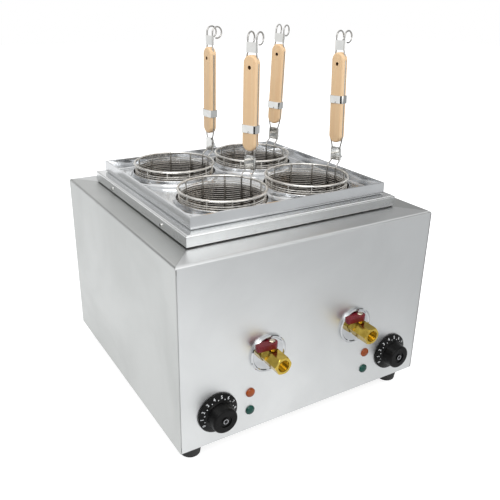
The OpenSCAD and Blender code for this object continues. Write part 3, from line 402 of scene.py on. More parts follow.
metal("chrome", (0.56, 0.57, 0.58), (0.50, 0.51, 0.52), (0.05, 0.10), 40, EVEN, 0.01)
metal("brass", (0.62, 0.45, 0.090), (0.42, 0.29, 0.050), (0.13, 0.22), 70, EVEN, 0.05)
metal("stem_nickel", (0.66, 0.60, 0.47), (0.54, 0.48, 0.36), (0.18, 0.28), 90, EVEN, 0.03)
metal("shaft_metal", (0.50, 0.50, 0.52), (0.38, 0.38, 0.40), (0.16, 0.26), 90, EVEN, 0.03)
print("metals:", ", ".join(finishes))

# %% [markdown]
# ### Basket wire
# The baskets hang in the tanks up to the collars. Below that line the wire is painted darker and duller,
# as painted shade of the tank round it, and above it the wire stays bright. The height in the object's
# own coordinates tells the two apart, so the line stays on the basket when it is lifted out.

# %% Basket wire
DULL_BELOW, BRIGHT_ABOVE = 347 * mm, 354 * mm
# Tone of the wire below the collars: painted shade of the tank.
IN_TANK_SHADE_TONE = (0.58, 0.55, 0.51)
tree, shader, place = metal(
    "basket_wire", (0.84, 0.82, 0.78), (0.70, 0.68, 0.64), (0.22, 0.32), 40, EVEN, 0.04
)
height = add(tree, "ShaderNodeSeparateXYZ")
tree.links.new(place, height.inputs[0])
above_collar_line = add(tree, "ShaderNodeMapRange", {"From Min": DULL_BELOW, "From Max": BRIGHT_ABOVE})
tree.links.new(height.outputs["Z"], above_collar_line.inputs["Value"])
painted_shade_mix = add(tree, "ShaderNodeMix", data_type="RGBA")
painted_shade_mix.inputs[6].default_value = (*IN_TANK_SHADE_TONE, 1)
tree.links.new(shader.inputs["Base Color"].links[0].from_socket, painted_shade_mix.inputs[7])
tree.links.new(above_collar_line.outputs[0], painted_shade_mix.inputs[0])
tree.links.new(painted_shade_mix.outputs[2], shader.inputs["Base Color"])
print("basket wire: dull below", round(DULL_BELOW / mm), "mm")

# %% [markdown]
# ### Plastics and rubber
# Knobs, feet, gland and terminal bodies are moulded, so they get a fine skin instead of a grain. The
# lever's coating is glossier, and the lamp lenses let some light in.

# %% Plastics
MOULD_MARKS, SKIN_GLOSS = 60, 0.04


def moulded(name, tone, dull_tone, gloss, skin_scale, depth, extra=None):
    tree, shader, place = new_finish(name, extra or {})
    skin = effect(tree, skin_group, place, {"Scale": skin_scale})
    marks = effect(tree, marks_group, place, {"Scale": MOULD_MARKS})
    tree.links.new(two_tones(tree, marks, tone, dull_tone), shader.inputs["Base Color"])
    shiny, dull = gloss
    worn = remap(tree, marks, shiny, dull)
    rough = math_node(tree, "ADD", worn, remap(tree, skin, -SKIN_GLOSS, SKIN_GLOSS))
    tree.links.new(rough, shader.inputs["Roughness"])
    bump(tree, shader, skin, depth)


LENS_SOCKETS = {"Transmission Weight": 0.15, "IOR": 1.45, "Specular IOR Level": 0.35}
moulded("knob_black", (0.003, 0.003, 0.003), (0.007, 0.007, 0.007), (0.26, 0.36), 2500, 0.05,
        {"Specular IOR Level": 0.12})
moulded("rubber", (0.014, 0.014, 0.014), (0.035, 0.034, 0.033), (0.60, 0.80), 900, 0.35)
moulded("gland_plastic", (0.016, 0.016, 0.017), (0.030, 0.030, 0.030), (0.42, 0.55), 1200, 0.15)
moulded("thermostat_plastic", (0.62, 0.57, 0.46), (0.50, 0.45, 0.36), (0.45, 0.60), 900, 0.12)
moulded("lever_red", (0.16, 0.005, 0.012), (0.10, 0.003, 0.008), (0.24, 0.38), 1800, 0.08,
        {"Specular IOR Level": 0.3, "Coat Weight": 0.1, "Coat Roughness": 0.15})
moulded("amber_lens", (0.46, 0.095, 0.013), (0.28, 0.050, 0.007), (0.05, 0.10), 600, 0.05, LENS_SOCKETS)
moulded("green_lens", (0.0005, 0.085, 0.062), (0.0005, 0.045, 0.032), (0.05, 0.10), 600, 0.05, LENS_SOCKETS)
# Dark brown for the lining of the grips' holes: painted shade.
moulded("hole_painted_shade", (0.085, 0.040, 0.016), (0.150, 0.075, 0.030), (0.60, 0.75), 900, 0.20)
moulded("dial_white", (0.86, 0.87, 0.88), (0.74, 0.75, 0.76), (0.45, 0.60), 2500, 0.04)
print("finishes:", len(finishes))

# %% [markdown]
# ### Beech
# The grips are pale beech. Its look comes from three things: slow bands of tone along the length,
# fine fibres, and the short dark flecks that beech shows on its flat face. All three are noise pulled
# long up the grip, because the grips stand upright and their fibres run along them.

# %% Beech
BEECH_PALE, BEECH_DEEP = (1.0, 0.78, 0.50), (0.92, 0.56, 0.29)
FIBRE_DARK, FIBRE_CLEAR, FIBRE_SHARE = (0.70, 0.62, 0.52), (1.0, 1.0, 1.0), 0.30
FLECK_TONE, FLECK_SHARE = (0.42, 0.22, 0.09, 1), 0.45
tree, shader, place = new_finish("grip_wood", {"Coat Weight": 0.12, "Coat Roughness": 0.35})
bands = effect(tree, grain_group, place, {"Stretch": (240, 240, 7)})
fibres = effect(tree, grain_group, place, {"Stretch": (1500, 1500, 40)})
flecks = effect(tree, grain_group, place, {"Stretch": (1100, 1100, 130)})
fleck_mask = add(tree, "ShaderNodeMapRange", {"From Min": 0.64, "From Max": 0.72})
tree.links.new(flecks, fleck_mask.inputs["Value"])
pale = two_tones(tree, bands, BEECH_PALE, BEECH_DEEP)
fibre_tint = add(tree, "ShaderNodeMix", {0: FIBRE_SHARE}, data_type="RGBA", blend_type="MULTIPLY")
tree.links.new(pale, fibre_tint.inputs[6])
tree.links.new(two_tones(tree, fibres, FIBRE_DARK, FIBRE_CLEAR), fibre_tint.inputs[7])
flecked = add(tree, "ShaderNodeMix", data_type="RGBA")
flecked.inputs[7].default_value = FLECK_TONE
tree.links.new(remap(tree, fleck_mask.outputs[0], 0.0, FLECK_SHARE), flecked.inputs[0])
tree.links.new(fibre_tint.outputs[2], flecked.inputs[6])
tree.links.new(flecked.outputs[2], shader.inputs["Base Color"])
tree.links.new(remap(tree, fibres, 0.38, 0.58), shader.inputs["Roughness"])
bump(tree, shader, fibres, 0.18, 0.3 * mm)
print("finishes:", len(finishes))

# %% [markdown]
# ### Dressing the solids
# Each solid wears the finish of its material slot. A few are named here with a finish of their own:
# the side panels with their crosswise grain and a darker tone that is painted shade, the surround
# with a paler tone that is painted light, the tanks and guards in near-black steel that is painted
# shade of the deep tanks, and the thermostat shafts in black.

# %% Finishes on the solids
slot_of = {row["node"]: row["material_slot"] for row in frame["record"]["subparts"]}
OWN_FINISH = {
    "tank_painted_shade": ("tank_left", "tank_right", "guard_left", "guard_right"),
    "side_steel_painted_shade": ("left_panel", "right_panel"),
    "step_steel_painted_light": ("surround",),
    "knob_black": ("thermostat_shaft_left", "thermostat_shaft_right"),
}
finish_of = {name: finish for finish, names in OWN_FINISH.items() for name in names}
for name, solid in nodes.items():
    solid.data.materials.clear()
    solid.data.materials.append(finishes[finish_of.get(name, slot_of[name])])
print("dressed", len(slot_of), "solids")

# %% [markdown]
# ## Working by hand in code
# An operator acts on everything that is selected, and the frame arrives selected. These helpers clear
# the selection, pick faces by their place and facing, and put a finished piece on its body with its
# place baked into the mesh.

# %% Modelling helpers
def clear_selection():
    if bpy.context.object and bpy.context.object.mode != "OBJECT":
        bpy.ops.object.mode_set(mode="OBJECT")
    bpy.ops.object.select_all(action="DESELECT")


def only(piece):
    clear_selection()
    piece.select_set(True)
    bpy.context.view_layer.objects.active = piece


def bake_place(piece):
    only(piece)
    bpy.ops.object.transform_apply(location=True, rotation=True, scale=True)


def pick_faces(piece, test):
    """Enters edit mode and selects the faces whose middle and normal pass the test."""
    bpy.ops.object.mode_set(mode="EDIT")
    bpy.ops.mesh.select_mode(type="FACE")
    bpy.ops.mesh.select_all(action="DESELECT")
    shape = bmesh.from_edit_mesh(piece.data)
    for face in shape.faces:
        face.select_set(test(face.calc_center_median(), face.normal))
    bmesh.update_edit_mesh(piece.data)


def outward(piece):
    """Merges doubles and turns every face outwards."""
    only(piece)
    bpy.ops.object.mode_set(mode="EDIT")
    bpy.ops.mesh.select_all(action="SELECT")
    bpy.ops.mesh.remove_doubles(threshold=0.005 * mm)
    bpy.ops.mesh.normals_make_consistent(inside=False)
    bpy.ops.object.mode_set(mode="OBJECT")


def round_edges(piece, width, segments=3, angle=35):
    only(piece)
    rounding = piece.modifiers.new("round_edges", "BEVEL")
    rounding.width, rounding.segments = width, segments
    rounding.limit_method, rounding.angle_limit = "ANGLE", math.radians(angle)
    bpy.ops.object.modifier_apply(modifier=rounding.name)
    bpy.ops.object.shade_smooth_by_angle(angle=math.radians(angle))


def twin(piece, name, move=(0, 0, 0)):
    """A copy with its own mesh, moved inside the mesh."""
    only(piece)
    bpy.ops.object.duplicate(linked=False)
    copy = bpy.context.object
    copy.name = copy.data.name = name
    copy.location = move
    bake_place(copy)
    return copy


def join(pieces, name):
    only(pieces[0])
    for piece in pieces[1:]:
        piece.select_set(True)
    bpy.ops.object.join()
    made = bpy.context.object
    made.name = made.data.name = name
    return made


def hand_over(piece, body, finish, stands_for=()):
    """Gives a piece its finish, its body and the solids it stands for."""
    piece.data.materials.clear()
    piece.data.materials.append(finishes[finish])
    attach(piece, body)
    if stands_for:
        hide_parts(*stands_for)
    print(piece.name, "rides", body, "with", len(piece.data.polygons), "faces")


# %% [markdown]
# ## Handle wires
# Two spring wires carry each basket. They run up inside the wall, pass over the rim, come together at
# the hook tab, spread to lie in the grip's grooves, close in again at the top plate and end in two
# open hooks. A curve with a round profile could draw them, but a wire bender does it in steps: push
# the wire straight, then turn it round a pin. Extrude and spin do the same to a circle.

# %% Wire bending
STEP_DEGREES, FEWEST_STEPS = 9, 3


def bend_wire(name, points, bend_r, wire_r, curl, sides=12):
    """Draws a wire along its corners and ends it in a curl: (radius, turn, side it turns to)."""
    runs = [(b - a).normalized() for a, b in zip(points, points[1:])]
    clear_selection()
    bpy.ops.mesh.primitive_circle_add(
        vertices=sides, radius=wire_r, location=points[0],
        rotation=runs[0].to_track_quat("Z", "Y").to_euler(),
    )
    wire = bpy.context.object
    wire.name = wire.data.name = name
    bake_place(wire)
    bpy.ops.object.mode_set(mode="EDIT")
    bpy.ops.mesh.select_mode(type="EDGE")
    bpy.ops.mesh.select_all(action="SELECT")
    here = points[0]

    def push(to):
        bpy.ops.mesh.extrude_region_move(TRANSFORM_OT_translate={"value": to - here})

    def turn_round(start, run, towards, angle, radius):
        steps = max(FEWEST_STEPS, round(math.degrees(angle) / STEP_DEGREES))
        bpy.ops.mesh.spin(
            steps=steps, angle=-angle, center=start + towards * radius, axis=run.cross(towards)
        )

    for run, after, corner in zip(runs, runs[1:], points[1:]):
        angle = run.angle(after)
        trim = bend_r * math.tan(angle / 2)
        towards = (after - run * run.dot(after)).normalized()
        push(corner - run * trim)
        turn_round(corner - run * trim, run, towards, angle, bend_r)
        here = corner + after * trim
    push(points[-1])
    curl_r, curl_turn, curl_side = curl
    turn_round(points[-1], runs[-1], curl_side, curl_turn, curl_r)
    bpy.ops.mesh.select_all(action="SELECT")
    bpy.ops.mesh.fill_holes(sides=0)
    outward(wire)
    bpy.ops.object.shade_smooth_by_angle(angle=math.radians(50))
    return wire


# %% [markdown]
# The four handles are alike, but each stands a little differently: turned about its basket and leaning
# sideways by a degree or two, as they were put down by hand. The corners are written once, in the
# basket's own frame with the rim as zero and the handle towards +X, then leaned and turned.

# %% Four pairs of handle wires
BASKETS = {
    "back_left": (5.5, 0.5),
    "back_right": (24.5, 1.9),
    "front_left": (24.5, 0.0),
    "front_right": (12.0, -2.2),
}
WIRE_R, BEND_R = 1.25 * mm, 5 * mm
HOOK_R, HOOK_TURN = 9 * mm, math.radians(285)
RIM_WIRE_R = 1.8 * mm
INNER_X, OUTER_X = 63.7 * mm, 73.5 * mm
INNER_Y = 9.1 * mm
INSIDE = [
    (INNER_X, INNER_Y, -136.5 * mm),
    (INNER_X, INNER_Y, 2 * mm),
    (65.7 * mm, INNER_Y, 6.4 * mm),
]
# Half the wires' distance and the height over the rim, in millimetres.
ABOVE = [(8.5, 12), (8.5, 36), (11.6, 47), (11.6, 174.75), (8, 189.5), (8, 210.5)]


def basket_middle(basket):
    """The middle of a basket's rim wire, read from its solid."""
    low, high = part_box(f"basket_{basket}_rings")
    rim_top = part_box(f"basket_{basket}_frame")[1].z
    return Vector(((low.x + high.x) / 2, (low.y + high.y) / 2, rim_top - RIM_WIRE_R))


def handle_turns(basket):
    """The handle's turn about its basket and its lean, as two matrices."""
    turned, leaned = BASKETS[basket]
    return Matrix.Rotation(math.radians(turned), 3, "Z"), Matrix.Rotation(math.radians(leaned), 3, "X")


for basket in BASKETS:
    spin_about, lean_over = handle_turns(basket)
    middle = basket_middle(basket)
    pair = []
    for side in (-1, 1):
        own = [Vector((x, side * y, z)) for x, y, z in INSIDE]
        own += [lean_over @ Vector((OUTER_X, side * y * mm, z * mm)) for y, z in ABOVE]
        points = [middle + spin_about @ p for p in own]
        hook_side = spin_about @ Vector((1, 0, 0))
        pair.append(bend_wire(f"wire_{side}", points, BEND_R, WIRE_R, (HOOK_R, HOOK_TURN, hook_side)))
    wires = join(pair, f"handle_wires_{basket}")
    hand_over(
        wires, f"basket_{basket}", "handle_wire",
        stands_for=[f"basket_{basket}_handle_wires"],
    )

# %% [markdown]
# ## Wooden grips
# A grip is a flat beech bar with half-round ends and softly rounded edges. It starts as a circle whose
# upper half is drawn up into a long oval, and the oval is pushed out to the bar's thickness. The
# circle is turned by half a step, so that two of its edges stand upright and only they are stretched.
# A router would then cut the slot along each side and a drill the hole, and booleans do the same.
# The bar is made once, about its lower end's middle, and copied to the four handles.

# %% One grip
GRIP_W, GRIP_T, GRIP_L = 25.4 * mm, 13 * mm, 144.5 * mm
GRIP_ROUND, GRIP_STEPS = 3.2 * mm, 48
GRIP_LOW = 43 * mm
SLOT_W, SLOT_FLOOR = 2.8 * mm, 10.2 * mm
HOLE_D, HOLE_DROP = 6 * mm, 18 * mm


def cut_away(piece, cutter):
    """Cuts a shape out of a piece and throws the shape away."""
    only(piece)
    cut = piece.modifiers.new("cut", "BOOLEAN")
    cut.operation, cut.object, cut.solver = "DIFFERENCE", cutter, "EXACT"
    bpy.ops.object.modifier_apply(modifier=cut.name)
    bpy.data.objects.remove(cutter)


clear_selection()
bpy.ops.mesh.primitive_circle_add(
    vertices=GRIP_STEPS, radius=GRIP_W / 2, fill_type="NGON",
    location=(-GRIP_T / 2, 0, GRIP_W / 2), rotation=(math.pi / GRIP_STEPS, math.pi / 2, 0),
)
grip = bpy.context.object
grip.name = grip.data.name = "grip"
bake_place(grip)
bpy.ops.object.mode_set(mode="EDIT")
bpy.ops.mesh.select_mode(type="VERT")
bpy.ops.mesh.select_all(action="DESELECT")
outline = bmesh.from_edit_mesh(grip.data)
for corner in outline.verts:
    corner.select_set(corner.co.z > GRIP_W / 2)
bmesh.update_edit_mesh(grip.data)
bpy.ops.transform.translate(value=(0, 0, GRIP_L - GRIP_W))
bpy.ops.mesh.select_all(action="SELECT")
bpy.ops.mesh.extrude_region_move(TRANSFORM_OT_translate={"value": (GRIP_T, 0, 0)})
outward(grip)
round_edges(grip, GRIP_ROUND, segments=6, angle=60)
for side in (-1, 1):
    clear_selection()
    slot_middle = (0, side * (SLOT_FLOOR + GRIP_W / 2), GRIP_L / 2 - GRIP_W / 4)
    bpy.ops.mesh.primitive_cube_add(size=1, location=slot_middle)
    router = bpy.context.object
    router.scale = (SLOT_W, GRIP_W, GRIP_L - GRIP_W / 2)
    bake_place(router)
    cut_away(grip, router)
clear_selection()
bpy.ops.mesh.primitive_cylinder_add(
    vertices=32, radius=HOLE_D / 2, depth=2 * GRIP_T,
    location=(0, 0, GRIP_L - HOLE_DROP), rotation=(0, math.pi / 2, 0),
)
cut_away(grip, bpy.context.object)
only(grip)
bpy.ops.object.shade_smooth_by_angle(angle=math.radians(35))
print("grip", len(grip.data.polygons), "faces")

# %% Four grips
def set_on_handle(piece, basket):
    """Carries a piece that was made about a grip's lower end to its handle."""
    spin_about, lean_over = handle_turns(basket)
    turned = spin_about @ lean_over
    grip_end = basket_middle(basket) + turned @ Vector((OUTER_X, 0, GRIP_LOW))
    piece.matrix_world = Matrix.Translation(grip_end) @ turned.to_4x4()
    bake_place(piece)


for basket in BASKETS:
    held = twin(grip, f"grip_{basket}")
    set_on_handle(held, basket)
    hand_over(held, f"basket_{basket}", "grip_wood", stands_for=[f"basket_{basket}_grip"])
bpy.data.objects.remove(grip)

# %% [markdown]
# The holes are lined in dark brown, painted shade of the hole's inside, so the hole looks dark from
# every side. The dark wall is a thin tube that stands in the hole a little short of both faces.

# %% Painted shade in the holes
SHADE_TUBE_T, SHADE_TUBE_GAP, SHADE_TUBE_SHORT = 0.3 * mm, 0.02 * mm, 1 * mm
clear_selection()
bpy.ops.mesh.primitive_cylinder_add(
    vertices=32, radius=HOLE_D / 2 - SHADE_TUBE_GAP, depth=GRIP_T - SHADE_TUBE_SHORT, end_fill_type="NOTHING",
    location=(0, 0, GRIP_L - HOLE_DROP), rotation=(0, math.pi / 2, 0),
)
tube = bpy.context.object
tube.name = tube.data.name = "hole_shade_tube"
bake_place(tube)
wall = tube.modifiers.new("wall", "SOLIDIFY")
wall.thickness, wall.offset = SHADE_TUBE_T, -1
bpy.ops.object.modifier_apply(modifier=wall.name)
outward(tube)
for basket in BASKETS:
    lining = twin(tube, f"hole_shade_tube_{basket}")
    set_on_handle(lining, basket)
    hand_over(lining, f"basket_{basket}", "hole_painted_shade")
bpy.data.objects.remove(tube)

# %% [markdown]
# ## Sliding bands
# A spring-steel strap goes round each grip and its two wires and can be pushed up or down. It is bent
# from strip in two small folds at each corner. A rectangle whose corners are cut gives the strap's
# path, the path is drawn up to the strap's height, and Solidify gives it the strip's thickness. A
# shallow dimple pressed in from the front keeps it from sliding by itself.

# %% One band
BAND_IN_W, BAND_IN_T, BAND_H, STRIP = 26.3 * mm, 13.6 * mm, 12.4 * mm, 0.8 * mm
BAND_CORNER, STRIP_ROUND = 3.2 * mm, 0.2 * mm
DIMPLE_R, DIMPLE_DEEP = 4.5 * mm, 0.5 * mm
DIMPLE_ASIDE, DIMPLE_LOW = 1 * mm, 5.4 * mm

clear_selection()
bpy.ops.mesh.primitive_plane_add(size=1, location=(0, 0, -BAND_H / 2))
band = bpy.context.object
band.name = band.data.name = "band"
band.scale = (BAND_IN_T, BAND_IN_W, 1)
bake_place(band)
bpy.ops.object.mode_set(mode="EDIT")
bpy.ops.mesh.select_mode(type="VERT")
bpy.ops.mesh.select_all(action="SELECT")
bpy.ops.mesh.bevel(offset=BAND_CORNER, segments=2, affect="VERTICES")
bpy.ops.mesh.select_all(action="SELECT")
bpy.ops.mesh.delete(type="ONLY_FACE")
bpy.ops.mesh.select_all(action="SELECT")
bpy.ops.mesh.extrude_region_move(TRANSFORM_OT_translate={"value": (0, 0, BAND_H)})
outward(band)
only(band)
strip = band.modifiers.new("strip", "SOLIDIFY")
strip.thickness, strip.offset = STRIP, 1
bpy.ops.object.modifier_apply(modifier=strip.name)
round_edges(band, STRIP_ROUND, segments=2, angle=60)
clear_selection()
bpy.ops.mesh.primitive_uv_sphere_add(
    segments=32, ring_count=20, radius=DIMPLE_R,
    location=(-BAND_IN_T / 2 - STRIP - DIMPLE_R + DIMPLE_DEEP, -DIMPLE_ASIDE, -DIMPLE_LOW),
)
cut_away(band, bpy.context.object)
only(band)
bpy.ops.object.shade_smooth_by_angle(angle=math.radians(20))
print("band", len(band.data.polygons), "faces")

# %% Four bands
for basket in BASKETS:
    spin_about, lean_over = handle_turns(basket)
    low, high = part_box(f"basket_{basket}_band")
    strap = twin(band, f"band_{basket}")
    strap.matrix_world = Matrix.Translation((low + high) / 2) @ (spin_about @ lean_over).to_4x4()
    bake_place(strap)
    hand_over(strap, f"band_{basket}", "strap_steel", stands_for=[f"basket_{basket}_band"])
bpy.data.objects.remove(band)

# %% [markdown]
# ## Valve levers
# Each lever is a small crimson-coated arm on the valve's stem, pointing along the panel when the valve
# is shut. It starts as the round hub. The faces that look to -X are pushed out to make the arm, the
# arm's end is drawn in a little, and the stem's hole is bridged through the hub. A rounding on every
# edge gives the soft look of a thick coating.

# %% One lever
HUB_R, STEM_HOLE_R = 8 * mm, 3.1 * mm
ARM_FACES, ARM_DROP, COATING_ROUND = -0.35, 0.6 * mm, 1.1 * mm
ARM_END_SHARES, ARM_END_HEIGHT = (0.35, 0.72, 0.88), 0.45


def shape_lever(name, stem, low, high):
    """A lever whose hub stands at stem, between the solid's lowest and highest corners."""
    thick = high.z - low.z
    clear_selection()
    bpy.ops.mesh.primitive_cylinder_add(
        vertices=40, radius=HUB_R, depth=thick, location=(stem.x, stem.y, low.z + thick / 2)
    )
    lever = bpy.context.object
    lever.name = lever.data.name = name
    bake_place(lever)
    pick_faces(lever, lambda middle, normal: normal.x < ARM_FACES)
    bpy.ops.mesh.extrude_region_move(
        TRANSFORM_OT_translate={"value": (low.x - stem.x + HUB_R, 0, -ARM_DROP)}
    )
    bpy.ops.transform.resize(
        value=ARM_END_SHARES, center_override=(low.x, stem.y, low.z + ARM_END_HEIGHT * thick)
    )
    pick_faces(lever, lambda middle, normal: abs(normal.z) > 0.9 and abs(middle.x - stem.x) < mm)
    bpy.ops.mesh.inset(thickness=HUB_R - STEM_HOLE_R)
    bpy.ops.mesh.bridge_edge_loops()
    outward(lever)
    round_edges(lever, COATING_ROUND, segments=4)
    return lever


for side in ("left", "right"):
    low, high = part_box(f"valve_lever_{side}")
    stem_low, stem_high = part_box(f"valve_stem_{side}")
    lever = shape_lever(f"lever_{side}", (stem_low + stem_high) / 2, low, high)
    hand_over(lever, f"valve_{side}", "lever_red", stands_for=[f"valve_lever_{side}"])

# %% [markdown]
# ## Pilot lamps
# A pilot lamp is a clear coloured cap with cut facets that throw the light of a small bulb sideways.
# A dome would look like a bead, so the cap is a cylinder whose top is inset twice, each ring lifted
# and turned by half a facet. Turning the rings is what makes the triangles of a cut stone. The cap
# is modelled once on a lamp's own axis and copied to the four places.

# %% One lamp cap
LAMP_FACETS = 12
LAMP_R, LAMP_RIM = 7.5 * mm, 1.2 * mm
# Each ring of facets: its share of the radius and its rise.
LAMP_RINGS = ((0.14, 1.3 * mm), (0.30, 1.1 * mm), (0.36, 0.6 * mm))

clear_selection()
bpy.ops.mesh.primitive_cylinder_add(
    vertices=LAMP_FACETS * 2, radius=LAMP_R, depth=LAMP_RIM, location=(0, 0, LAMP_RIM / 2)
)
cap = bpy.context.object
cap.name = cap.data.name = "lamp_cap"
bake_place(cap)
pick_faces(cap, lambda middle, normal: normal.z > 0.9)
half_facet = math.pi / (LAMP_FACETS * 2)
for share, rise in LAMP_RINGS:
    bpy.ops.mesh.inset(thickness=share * LAMP_R)
    bpy.ops.transform.translate(value=(0, 0, rise))
    bpy.ops.transform.rotate(value=half_facet, orient_axis="Z", center_override=(0, 0, 0))
bpy.ops.mesh.poke()
bpy.ops.mesh.select_all(action="SELECT")
bpy.ops.mesh.quads_convert_to_tris(quad_method="FIXED")
outward(cap)
only(cap)
cap.rotation_euler = (math.pi / 2, 0, 0)
bake_place(cap)
print("lamp cap", len(cap.data.polygons), "facets")

# %% Four lamps
panel_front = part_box("front_panel")[0].y
for colour in ("amber", "green"):
    low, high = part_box(f"{colour}_lamps")
    caps = []
    for x in (low.x + LAMP_R, high.x - LAMP_R):
        caps.append(twin(cap, f"{colour}_cap", (x, panel_front, (low.z + high.z) / 2)))
    pair = join(caps, f"{colour}_lamp_caps")
    hand_over(pair, "casing", f"{colour}_lens", stands_for=[f"{colour}_lamps"])
bpy.data.objects.remove(cap)

# %% [markdown]
# ## Dial marks
# White numbers and dots are printed on the sloping skirt of each knob, from the lower left over the top
# to the lower right. Numbers are easiest as text. Each is made a mesh first and then laid on the cone:
# its top points outwards along the slope and its face looks out of the slope.

# %% Marks of one dial
DIAL_STEPS = 11
DIAL_FIRST, DIAL_SPACING = math.radians(-118), math.radians(25.7)
SKIRT_OUT, SKIRT_IN = (31.5 * mm, 3.0 * mm), (22 * mm, 6.5 * mm)
MARK_SIZE, MARK_THICK, MARK_BOLD = 6.6 * mm, 0.12 * mm, 0.08 * mm
NUMBER_AT, DOT_AT, DOT_R, INK_LIFT = 26.8 * mm, 23.8 * mm, 0.75 * mm, 0.03 * mm
slope = math.atan2(SKIRT_IN[1] - SKIRT_OUT[1], SKIRT_OUT[0] - SKIRT_IN[0])


def on_skirt(hub, clock, radius):
    """The frame of a mark: its right, its top and its face, with its place on the cone."""
    out = Vector((math.sin(clock), 0, math.cos(clock)))
    top = out * math.cos(slope) + Vector((0, math.sin(slope), 0))
    face = out * math.sin(slope) + Vector((0, -math.cos(slope), 0))
    proud = SKIRT_OUT[1] + (SKIRT_OUT[0] - radius) * math.tan(slope)
    at = hub + out * radius + Vector((0, -proud, 0)) + face * INK_LIFT
    turned = Matrix((top.cross(face), top, face)).transposed().to_4x4()
    return Matrix.Translation(at) @ turned


def number_mark(words, frame_on_skirt):
    clear_selection()
    bpy.ops.object.text_add()
    mark = bpy.context.object
    mark.data.body = words
    mark.data.align_x, mark.data.align_y = "CENTER", "CENTER"
    mark.data.size, mark.data.extrude, mark.data.offset = MARK_SIZE, MARK_THICK / 2, MARK_BOLD
    bpy.ops.object.convert(target="MESH")
    mark = bpy.context.object
    mark.matrix_world = frame_on_skirt
    bake_place(mark)
    return mark


def dot_mark(frame_on_skirt):
    clear_selection()
    bpy.ops.mesh.primitive_circle_add(vertices=12, radius=DOT_R, fill_type="NGON")
    mark = bpy.context.object
    bpy.ops.object.mode_set(mode="EDIT")
    bpy.ops.mesh.select_all(action="SELECT")
    bpy.ops.mesh.extrude_region_move(TRANSFORM_OT_translate={"value": (0, 0, MARK_THICK / 2)})
    bpy.ops.object.mode_set(mode="OBJECT")
    mark.matrix_world = frame_on_skirt
    bake_place(mark)
    return mark


for side in ("left", "right"):
    low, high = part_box(f"knob_{side}")
    hub = Vector(((low.x + high.x) / 2, panel_front, (low.z + high.z) / 2))
    marks = []
    for step in range(DIAL_STEPS):
        clock = DIAL_FIRST + step * DIAL_SPACING
        marks.append(number_mark(str(step), on_skirt(hub, clock, NUMBER_AT)))
        if step < DIAL_STEPS - 1:
            marks.append(dot_mark(on_skirt(hub, clock + DIAL_SPACING / 2, DOT_AT)))
    printed = join(marks, f"dial_marks_{side}")
    outward(printed)
    hand_over(printed, f"dial_{side}", "dial_white")

# %% [markdown]
# ## Rings in the dials
# The end of the thermostat's shaft shows in the middle of each knob inside a thin bright ring. The
# ring is punched from sheet: a disc is inset, its middle is taken out, and what is left is drawn out
# to the sheet's thickness and rounded.

# %% Dial rings
RING_R, RING_W, RING_T, RING_ROUND = 3.9 * mm, 0.9 * mm, 0.5 * mm, 0.18 * mm
for side in ("left", "right"):
    low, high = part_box(f"thermostat_shaft_{side}")
    clear_selection()
    bpy.ops.mesh.primitive_circle_add(vertices=40, radius=RING_R, fill_type="NGON")
    ring = bpy.context.object
    ring.name = ring.data.name = f"dial_ring_{side}"
    bpy.ops.object.mode_set(mode="EDIT")
    bpy.ops.mesh.select_mode(type="FACE")
    bpy.ops.mesh.select_all(action="SELECT")
    bpy.ops.mesh.inset(thickness=RING_W)
    bpy.ops.mesh.delete(type="ONLY_FACE")
    bpy.ops.mesh.select_all(action="SELECT")
    bpy.ops.mesh.extrude_region_move(TRANSFORM_OT_translate={"value": (0, 0, RING_T)})
    outward(ring)
    round_edges(ring, RING_ROUND, segments=2)
    ring.rotation_euler = (math.pi / 2, 0, 0)
    ring.location = ((low.x + high.x) / 2, low.y + RING_T / 2, (low.z + high.z) / 2)
    bake_place(ring)
    hand_over(ring, f"dial_{side}", "shaft_metal")

# %% [markdown]
# ## Screws of the tank surround
# Two pan-head screws hold the surround on each side. A domed solid reads as a rivet, so the head is
# modelled again with its cross recess. The recess is cut with a boolean of two crossed bars, which
# is quicker than shaping it face by face.

# %% One screw head
HEAD_R, HEAD_H, HEAD_DOME = 3.4 * mm, 2.2 * mm, 1.6 * mm
RECESS_L, RECESS_W, RECESS_D = 3.8 * mm, 0.8 * mm, 1.3 * mm

clear_selection()
bpy.ops.mesh.primitive_cylinder_add(vertices=32, radius=HEAD_R, depth=HEAD_H, location=(0, 0, HEAD_H / 2))
head = bpy.context.object
head.name = head.data.name = "screw_head"
bake_place(head)
pick_faces(head, lambda middle, normal: normal.z > 0.9)
bpy.ops.mesh.bevel(offset=HEAD_DOME, segments=5, affect="EDGES", profile=0.6)
bpy.ops.object.mode_set(mode="OBJECT")
for angle in (0, math.pi / 2):
    clear_selection()
    bpy.ops.mesh.primitive_cube_add(size=1, location=(0, 0, HEAD_H))
    bar = bpy.context.object
    bar.scale, bar.rotation_euler = (RECESS_L, RECESS_W, 2 * RECESS_D), (0, 0, angle)
    bake_place(bar)
    cut_away(head, bar)
only(head)
bpy.ops.object.shade_smooth_by_angle(angle=math.radians(35))
print("screw head", len(head.data.polygons), "faces")

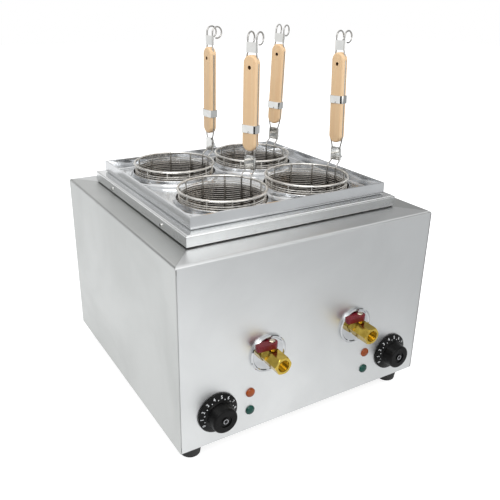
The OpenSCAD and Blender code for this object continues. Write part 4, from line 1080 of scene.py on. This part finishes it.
# %% Four screws
low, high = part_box("surround_screws")
wall_low, wall_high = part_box("surround")
screws = []
for x, turn_y in ((wall_low.x, -math.pi / 2), (wall_high.x, math.pi / 2)):
    for y in (low.y + HEAD_R, high.y - HEAD_R):
        screw = twin(head, "screw")
        screw.rotation_euler = (0, turn_y, 0)
        screw.location = (x, y, (low.z + high.z) / 2)
        bake_place(screw)
        screws.append(screw)
hand_over(join(screws, "surround_screw_heads"), "casing", "screw_steel", stands_for=["surround_screws"])
bpy.data.objects.remove(head)

# %% [markdown]
# ## Threads in the drain outlets
# A hose nipple screws into each outlet, so the brass bore shows thread lines. The thread is a small
# three-sided tooth carried round the bore by a Screw modifier. Rings would be simpler, but from the
# front a real thread climbs, and the modifier gives that for the same effort.

# %% Threads
THREAD_PITCH, THREAD_TURNS, THREAD_STEPS = 1.8 * mm, 7, 36
TOOTH, TOOTH_SUNK = 0.62 * mm, 0.1 * mm
BORE_R, HALF_HEXAGON = 9.3 * mm, 12.5 * mm
for side in ("left", "right"):
    low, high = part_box(f"valve_body_{side}")
    stem_low, stem_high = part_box(f"valve_stem_{side}")
    clear_selection()
    bpy.ops.mesh.primitive_circle_add(
        vertices=3, radius=TOOTH, location=(BORE_R - TOOTH_SUNK, 0, 0), rotation=(math.pi / 2, 0, 0)
    )
    thread = bpy.context.object
    thread.name = thread.data.name = f"outlet_thread_{side}"
    bake_place(thread)
    climb = thread.modifiers.new("climb", "SCREW")
    climb.axis, climb.angle = "Z", 2 * math.pi
    climb.screw_offset, climb.iterations = THREAD_PITCH, THREAD_TURNS
    climb.steps = climb.render_steps = THREAD_STEPS
    climb.use_merge_vertices = False
    bpy.ops.object.modifier_apply(modifier=climb.name)
    bpy.ops.object.mode_set(mode="EDIT")
    bpy.ops.mesh.select_all(action="SELECT")
    bpy.ops.mesh.fill_holes(sides=0)
    bpy.ops.object.mode_set(mode="OBJECT")
    thread.rotation_euler = (-math.pi / 2, 0, 0)
    bore_x, bore_z = (stem_low.x + stem_high.x) / 2, low.z + HALF_HEXAGON
    thread.location = (bore_x, low.y + THREAD_PITCH, bore_z)
    bake_place(thread)
    outward(thread)
    bpy.ops.object.shade_smooth_by_angle(angle=math.radians(40))
    hand_over(thread, "casing", "brass")
